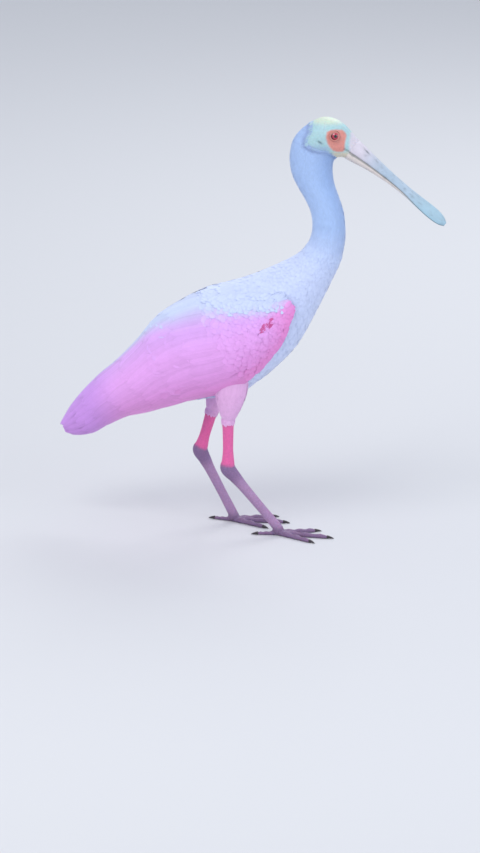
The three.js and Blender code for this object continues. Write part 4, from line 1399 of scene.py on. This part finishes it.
class SPOONBILL_OT_wings(bpy.types.Operator):
    """Makes the folded wings: shell, long feathers in rows and coverts"""

    bl_idname = "spoonbill.wings"
    bl_label = "Wings"

    def execute(self, context):
        sizes = read_settings(context)
        material = plumage_material("Wing plumage", 0.93, 0.2)
        covert = tuft_mesh("wing_covert", BODY_FEATHER)
        for name, side in SIDES.items():
            rng = np.random.default_rng(SEED + 5)
            parts, marks = wing_feather_parts(side, rng)
            shell, shell_t, shell_angle = wing_shell(side)
            count = len(shell[0])
            shell_grid_t = np.concatenate([shell_t, shell_t[:, ::-1]], axis=1).ravel()
            shell_grid_angle = np.concatenate([shell_angle, shell_angle[:, ::-1]], axis=1).ravel()
            parts.append(shell)
            marks.append({
                "tint": wing_colour(shell_grid_t, shell_grid_angle) * 0.96,
                "along": np.ones(count), "across": np.zeros(count), "barb": np.zeros(count),
                "root_t": shell_grid_t, "root_angle": shell_grid_angle,
            })
            points, faces = merge(parts)
            mesh = make_mesh(f"wing_{name}_feathers", points, faces, rimmed=True)
            joined = {key: np.concatenate([mark[key] for mark in marks]) for key in
                      ("tint", "along", "across", "barb", "root_t", "root_angle")}
            set_colours(mesh, joined["tint"])
            set_values(mesh, joined["along"], "along")
            set_values(mesh, joined["barb"], "barb")
            turn = joined["root_angle"] if side == LEFT else 2 * math.pi - joined["root_angle"]
            root_u = joined["root_t"] / (len(WING) - 1)
            set_bake_map(mesh, root_u, turn / (2 * math.pi), joined["across"], joined["along"])
            piece = make_object(f"wing_{name}_feathers", mesh, [material])
            dressed(piece, "wing_feathers", f"wing_{name}")
            roots = scatter(
                WING, (side,), (6.4, 11.95), rng,
                spacing=lambda t: sizes.covert_spacing * 1000 * (1.9 - 1.1 * float(ease(t, 7, 11.2))),
                length_of=lambda t: 30 - 17 * ease(t, 7, 11.5),
                width_of=lambda t: 13 - 7.4 * ease(t, 7, 11.5),
                colour_of=lambda spot, t, angle: wing_colour(t, angle),
                angle_of=wing_edges,
                level=(-2.2, -0.1),
            )
            lay_coat(f"wing_{name}_coverts", roots, covert, material, "wing_feathers", sizes)
        return {"FINISHED"}


class SPOONBILL_OT_shoulder_marks(bpy.types.Operator):
    """Lays the narrow carmine feathers of the two marks on each shoulder"""

    bl_idname = "spoonbill.shoulder_marks"
    bl_label = "Shoulder marks"

    def execute(self, context):
        sizes = read_settings(context)
        shape = tuft_mesh("shoulder_hair", HAIR_FEATHER)
        material = plumage_material("Shoulder plumage", 0.9, 0)
        for name, side in SIDES.items():
            rng = np.random.default_rng(SEED + 9)
            roots = scatter(
                WING, (side,), (10.3, 11.7), rng,
                spacing=lambda t: 1.5,
                length_of=lambda t: 9,
                width_of=lambda t: 1.7,
                colour_of=shoulder_colour,
                angle_of=wing_edges,
                level=(-0.9, 0.45),
                thick=0.5,
                keep=lambda spot, t, angle: in_shoulder_mark(spot, rng),
            )
            lay_coat(f"shoulder_marks_{name}", roots, shape, material, "wing_feathers", sizes)
        return {"FINISHED"}


def shoulder_colour(spot, t, angle):
    """Carmine over the wing's own colour."""
    return mix(wing_colour(t, angle), COLOURS["carmine"], 0 * t + 0.85)


def in_shoulder_mark(spot, rng):
    """True for roots inside one of the two slanting marks, thinned towards their edges."""
    x, _, z = design(spot)
    reach = np.full(x.shape, 9.0)
    for across, up, wide, tall in SHOULDER_MARKS:
        slant = (x - across) - 0.3 * (z - up)
        reach = np.minimum(reach, np.hypot(slant / wide, (z - up) / tall))
    return reach < rng.uniform(0.6, 1.2, x.shape)


class SPOONBILL_OT_tail(bpy.types.Operator):
    """Makes the folded tail between the wings"""

    bl_idname = "spoonbill.tail"
    bl_label = "Tail"

    def execute(self, context):
        slope = math.radians(29)
        along = np.array([-math.cos(slope), 0, -math.sin(slope)])
        up = np.array([-math.sin(slope), 0, math.cos(slope)])
        s = np.linspace(0, 1, 14)
        u = np.concatenate([VANE_TOP, VANE_UNDER])
        cup = np.concatenate([-0.3 * VANE_TOP**2, VANE_UNDER * 0 - 0.5])
        parts, tints, barbs, root_v = [], [], [], []
        down_shaft = np.repeat(s, len(u))
        off_shaft = np.tile(u, len(s))
        rng = np.random.default_rng(SEED + 7)
        for k in range(-5, 6):
            fan = math.radians(1.4 * k)
            heading = along * math.cos(fan) + np.array([0, math.sin(fan), 0])
            across = np.cross(up, heading)
            across = across / np.linalg.norm(across)
            start = np.array([-106, 1.1 * k, 186.0]) - up * 0.55 * abs(k)
            length = 82 * (1 - 0.02 * abs(k))
            middle = start + heading * (length * s)[:, None] - up * (4 * s * s)[:, None]
            wide = 6.4 * vane_outline(s)
            spots = middle[:, None, :] + across * (wide[:, None] * u[None, :])[..., None]
            spots = spots + up * cup[None, :, None]
            points, faces = loft(place(spots[..., 0], spots[..., 1], spots[..., 2]))
            parts.append((points, faces))
            shade = COLOURS["tail"] * rng.uniform(0.94, 1.03)
            tints.append(mix(COLOURS["tail_cover"], shade, ease(down_shaft, 0.1, 0.5)))
            barbs.append(np.abs(off_shaft) * np.repeat(wide, len(u)) * 5.5 - down_shaft * 450)
            root_v.append(np.full(len(points), 0.5 + 0.03 * k))
        points, faces = merge(parts)
        mesh = make_mesh("tail_feathers", points, faces, rimmed=True)
        set_colours(mesh, np.vstack(tints))
        along_all = np.tile(down_shaft, len(parts))
        set_values(mesh, along_all, "along")
        set_values(mesh, np.concatenate(barbs), "barb")
        set_bake_map(mesh, 0.02, np.concatenate(root_v), np.tile(off_shaft, len(parts)), along_all)
        piece = make_object("tail_feathers", mesh, [plumage_material("Tail plumage", 0.85, 0.35)])
        dressed(piece, "tail_feathers", "tail")
        return {"FINISHED"}


# Bill, eyes and claws


def bill_half(which):
    """Rings of one half of the bill with grooves along its edges."""
    u = np.linspace(0, len(BILL) - 1, 110)
    row = smooth(BILL, u)
    along = unit(np.gradient(row[:, :2], axis=0))
    up = np.stack([-along[:, 1], along[:, 0]], axis=-1)
    lean = np.clip(1 - u / 1.2, 0, 1)[:, None]
    up = unit(up * (1 - lean) + np.array([0.55, 0.835]) * lean)
    angle = np.linspace(0, math.pi, 41)
    cos, sin = np.cos(angle), np.sin(angle)
    flat = ease(u, 4, 6.5)[:, None]
    profile = sin[None, :] ** (0.8 + 0.25 * flat)
    groove = np.exp(-(((np.abs(cos) - 0.74) / 0.07) ** 2))[None, :] * 0.45 * np.minimum(1, row[:, 3:4] / 6)
    dish = np.exp(-((cos / 0.5) ** 2))[None, :] * 0.55 * flat * (1 - ease(u, 8.4, 9.6)[:, None])
    height = 0.17 + np.maximum(row[:, 3:4] * profile - (groove + dish) * sin[None, :], 0)
    x = row[:, 0:1] + up[:, 0:1] * which * height
    z = row[:, 1:2] + up[:, 1:2] * which * height
    y = row[:, 2:3] * cos[None, :]
    x = x - BILL_ROOT * along[0, 0] * (u < 0.01)[:, None]
    z = z - BILL_ROOT * along[0, 1] * (u < 0.01)[:, None]
    return place(x, y, z), u, angle


class SPOONBILL_OT_bill(bpy.types.Operator):
    """Makes the two halves of the bill"""

    bl_idname = "spoonbill.bill"
    bl_label = "Bill"

    def execute(self, context):
        read_settings(context)
        material = bill_material()
        for name, which in {"upper": 1, "lower": -1}.items():
            rings, u, angle = bill_half(which)
            points, faces = loft(rings)
            mesh = make_mesh(f"bill_{name}", points, faces)
            station = np.repeat(u, len(angle))
            edge = np.abs(np.tile(np.cos(angle), len(u)))
            if which > 0:
                colour = mix(COLOURS["bill_base"], COLOURS["bill_middle"], ease(station, 0.8, 3))
                colour = mix(colour, COLOURS["bill_spoon"], ease(station, 4, 7))
                colour = mix(colour, COLOURS["mottle"], 0.85 * nostril_closeness(points))
            else:
                colour = mix(COLOURS["bill_lower"], COLOURS["bill_spoon"], ease(station, 3, 7))
                colour = mix(colour, COLOURS["mottle"], 0.7 * ease(edge, 0.985, 1.0))
            set_colours(mesh, colour)
            piece = make_object(f"bill_{name}", mesh, [material])
            dressed(piece, "bill", f"bill_{name}")
        return {"FINISHED"}


def nostril_closeness(points):
    """1 in a nostril slit and 0 away from it."""
    x, y, z = design(points)
    tilt = math.radians(38)
    along = (x - 198.5) * math.cos(tilt) - (z - 508.6) * math.sin(tilt)
    reach = (along / 4.2) ** 2 + ((np.abs(y) - 5.6) / 1.2) ** 2
    return np.exp(-reach)


class SPOONBILL_OT_eyes(bpy.types.Operator):
    """Makes the eyeballs with iris and pupil"""

    bl_idname = "spoonbill.eyes"
    bl_label = "Eyes"

    def execute(self, context):
        read_settings(context)
        material = tinted_material("Eye", 0.12, 1.0)
        for name, side in SIDES.items():
            centre = (EYE["x"], side * EYE["y"], EYE["z"])
            points, faces = ball(centre, EYE["radius"] - 0.1, sides=64, rows=48)
            mesh = make_mesh(f"eye_{name}", points, faces)
            x, y, z = design(points)
            _, forward, _, outward = eye_seat(side)
            gaze = unit(outward + 0.04 * forward - np.array([0, 0, 0.12]))
            away = np.stack([x - centre[0], y - centre[1], z - centre[2]], axis=-1)
            angle = np.degrees(np.arccos(np.clip((unit(away) * gaze).sum(-1), -1, 1)))
            colour = mix(COLOURS["pupil"], COLOURS["iris"], ease(angle, 17, 19.5))
            colour = mix(colour, COLOURS["eye_rim"], ease(angle, 36, 42))
            set_colours(mesh, colour)
            piece = make_object(f"eyeball_{name}", mesh, [material])
            dressed(piece, "eye", f"eye_{name}")
        return {"FINISHED"}


class SPOONBILL_OT_claws(bpy.types.Operator):
    """Makes the claws of both feet"""

    bl_idname = "spoonbill.claws"
    bl_label = "Claws"

    def execute(self, context):
        read_settings(context)
        material = plain_material("Claw horn", COLOURS["claw"], 0.35)
        s = np.linspace(0, 1, 12)
        angle = np.linspace(0, 2 * math.pi, 14, endpoint=False)
        for name, leg in LEGS.items():
            side = SIDES[name]
            for toe, (length, spread) in TOES.items():
                along, across = toe_axes(side, spread)
                start = np.array(leg["toe_joint"][:2], float) + along * (length - 1.2)
                half = 1.9 * (1 - s) ** 0.7 + 0.12
                middle = start + along * ((CLAW_LENGTH + 1.2) * s)[:, None]
                spots = middle[:, None, :] + across * (half[:, None] * np.cos(angle))[..., None]
                level = (2.3 - 1.5 * s * s)[:, None] + half[:, None] * np.sin(angle) * 1.1
                rings = place(spots[..., 0], spots[..., 1], np.maximum(level, 0.05))
                mesh = make_mesh(f"claw_{toe}_{name}", *loft(rings))
                piece = make_object(f"nail_{toe}_{name}", mesh, [material])
                dressed(piece, "claw", f"claw_{toe}_{name}")
        return {"FINISHED"}


# Stage


# Lamps: name, place, aim, size and power in watts, colour
LAMPS = (
    ("key", (-0.6, -1.6, 2.2), (0, 0, 0.3), 1.4, 27, (1.0, 0.98, 0.96)),
    ("fill", (1.9, -1.1, 1.2), (0, 0, 0.3), 1.6, 12, (0.9, 0.94, 1.0)),
    ("rim", (0.3, 1.9, 1.8), (0, 0, 0.35), 1.4, 20, (1.0, 1.0, 1.0)),
)
CAMERA_DISTANCE = 14.0
AIM = Vector((-0.0069, 0, 0.28))
SHIFT_RIGHT = 0.00713           # how far the bird stands right of and over the picture's middle
SHIFT_UP = 0.1389


def area_light(name, spot, aim, size, power, colour):
    """Soft square light pointed at a place."""
    light = bpy.data.lights.new(name, "AREA")
    light.size = size
    light.energy = power
    light.color = colour
    lamp = bpy.data.objects.new(name, light)
    lamp.location = spot
    lamp.rotation_euler = (Vector(aim) - Vector(spot)).to_track_quat("-Z", "Y").to_euler()
    bpy.context.scene.collection.objects.link(lamp)
    return lamp


class SPOONBILL_OT_stage(bpy.types.Operator):
    """Makes the floor, the lights and the camera"""

    bl_idname = "spoonbill.stage"
    bl_label = "Stage"

    def execute(self, context):
        scene = context.scene
        scene.view_settings.view_transform = "Standard"
        world = bpy.data.worlds.new("Studio")
        world.use_nodes = True
        sky = world.node_tree.nodes["Background"]
        sky.inputs["Color"].default_value = (0.86, 0.9, 1.0, 1)
        sky.inputs["Strength"].default_value = 0.8
        scene.world = world
        corners = [(-20, -20, 0), (20, -20, 0), (20, 20, 0), (-20, 20, 0)]
        ground = bpy.data.meshes.new("floor")
        ground.from_pydata(corners, [], [(0, 1, 2, 3)])
        floor = make_object("floor", ground, [plain_material("Floor", (0.62, 0.63, 0.65), 0.9)])
        lamps = [area_light(*row) for row in LAMPS]
        camera = bpy.data.cameras.new("camera")
        camera.lens = scene.spoonbill.camera_lens
        camera.clip_start = 0.1
        camera.clip_end = 100
        viewer = bpy.data.objects.new("camera", camera)
        scene.collection.objects.link(viewer)
        azimuth, elevation = scene.spoonbill.camera_azimuth, scene.spoonbill.camera_elevation
        back = Vector((
            math.sin(azimuth) * math.cos(elevation),
            -math.cos(azimuth) * math.cos(elevation),
            math.sin(elevation),
        ))
        right = Vector((math.cos(azimuth), math.sin(azimuth), 0))
        up = back.cross(right)
        aim = AIM - right * SHIFT_RIGHT - up * SHIFT_UP
        viewer.location = aim + back * CAMERA_DISTANCE
        viewer.rotation_euler = (-back).to_track_quat("-Z", "Y").to_euler()
        scene.camera = viewer
        return {"FINISHED"}


class SpoonbillSettings(bpy.types.PropertyGroup):
    """Sizes and views that a user may change before the pieces are made."""

    skin_grain: bpy.props.FloatProperty(
        name="Skin grain", description="Edge of the cells that fuse the skin",
        default=0.0014, min=0.001, max=0.01, subtype="DISTANCE", unit="LENGTH")
    neck_spacing: bpy.props.FloatProperty(
        name="Neck spacing", description="Distance between feather roots on the neck",
        default=0.0019, min=0.001, max=0.01, subtype="DISTANCE", unit="LENGTH")
    body_spacing: bpy.props.FloatProperty(
        name="Body spacing", description="Distance between feather roots on the body",
        default=0.0034, min=0.002, max=0.02, subtype="DISTANCE", unit="LENGTH")
    covert_spacing: bpy.props.FloatProperty(
        name="Covert spacing", description="Distance between covert roots on the wings",
        default=0.0040, min=0.002, max=0.02, subtype="DISTANCE", unit="LENGTH")
    feather_length: bpy.props.FloatProperty(
        name="Feather length", description="Length of all small feathers against the usual",
        default=1.0, min=0.5, max=1.5, subtype="FACTOR")
    feather_spread: bpy.props.FloatProperty(
        name="Uneven feathers", description="Share by which feather sizes differ",
        default=0.15, min=0.0, max=0.5, subtype="FACTOR")
    neck_colour: bpy.props.FloatVectorProperty(
        name="Neck", description="Colour of the neck's plumage",
        default=tuple(COLOURS["neck"]), min=0, max=1, subtype="COLOR")
    back_colour: bpy.props.FloatVectorProperty(
        name="Back", description="Colour of the plumage on back and shoulders",
        default=tuple(COLOURS["white"]), min=0, max=1, subtype="COLOR")
    wing_colour: bpy.props.FloatVectorProperty(
        name="Wings", description="Colour in the middle of the folded wings",
        default=tuple(COLOURS["wing_middle"]), min=0, max=1, subtype="COLOR")
    shoulder_colour: bpy.props.FloatVectorProperty(
        name="Shoulder marks", description="Colour of the marks on the shoulders",
        default=tuple(COLOURS["carmine"]), min=0, max=1, subtype="COLOR")
    face_colour: bpy.props.FloatVectorProperty(
        name="Face", description="Colour of the bare patch round the eye",
        default=tuple(COLOURS["face"]), min=0, max=1, subtype="COLOR")
    leg_colour: bpy.props.FloatVectorProperty(
        name="Legs", description="Colour of the legs above the heel",
        default=tuple(COLOURS["shank"]), min=0, max=1, subtype="COLOR")
    bill_colour: bpy.props.FloatVectorProperty(
        name="Bill", description="Colour of the bill's middle",
        default=tuple(COLOURS["bill_middle"]), min=0, max=1, subtype="COLOR")
    iris_colour: bpy.props.FloatVectorProperty(
        name="Iris", description="Colour of the eyes",
        default=tuple(COLOURS["iris"]), min=0, max=1, subtype="COLOR")
    camera_azimuth: bpy.props.FloatProperty(
        name="Camera azimuth", description="Turn of the camera round the bird",
        default=math.radians(12), subtype="ANGLE", unit="ROTATION")
    camera_elevation: bpy.props.FloatProperty(
        name="Camera elevation", description="Height of the camera over the horizon",
        default=math.radians(16), subtype="ANGLE", unit="ROTATION")
    camera_lens: bpy.props.FloatProperty(
        name="Camera lens", description="Focal length in millimetres", default=461.6, min=10, max=500)


STEPS = (
    SPOONBILL_OT_skin,
    SPOONBILL_OT_neck_feathers,
    SPOONBILL_OT_body_feathers,
    SPOONBILL_OT_loose_feathers,
    SPOONBILL_OT_thigh_feathers,
    SPOONBILL_OT_wings,
    SPOONBILL_OT_shoulder_marks,
    SPOONBILL_OT_tail,
    SPOONBILL_OT_bill,
    SPOONBILL_OT_eyes,
    SPOONBILL_OT_claws,
    SPOONBILL_OT_stage,
)


class SPOONBILL_PT_panel(bpy.types.Panel):
    """Lists the steps that make the spoonbill"""

    bl_label = "Spoonbill"
    bl_idname = "SPOONBILL_PT_panel"
    bl_space_type = "VIEW_3D"
    bl_region_type = "UI"
    bl_category = "Spoonbill"

    def draw(self, context):
        for name in SpoonbillSettings.__annotations__:
            self.layout.prop(context.scene.spoonbill, name)
        for step in STEPS:
            self.layout.operator(step.bl_idname)


CLASSES = (SpoonbillSettings, *STEPS, SPOONBILL_PT_panel)


def register():
    """Registers the classes and the settings."""
    for cls in CLASSES:
        bpy.utils.register_class(cls)
    bpy.types.Scene.spoonbill = bpy.props.PointerProperty(type=SpoonbillSettings)


def unregister():
    """Takes the classes and the settings away."""
    del bpy.types.Scene.spoonbill
    for cls in reversed(CLASSES):
        bpy.utils.unregister_class(cls)


def main():
    """Registers the classes and makes every piece."""
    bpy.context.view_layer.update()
    register()
    for step in STEPS:
        group, name = step.bl_idname.split(".")
        getattr(getattr(bpy.ops, group), name)()


if __name__ == "__main__":
    main()
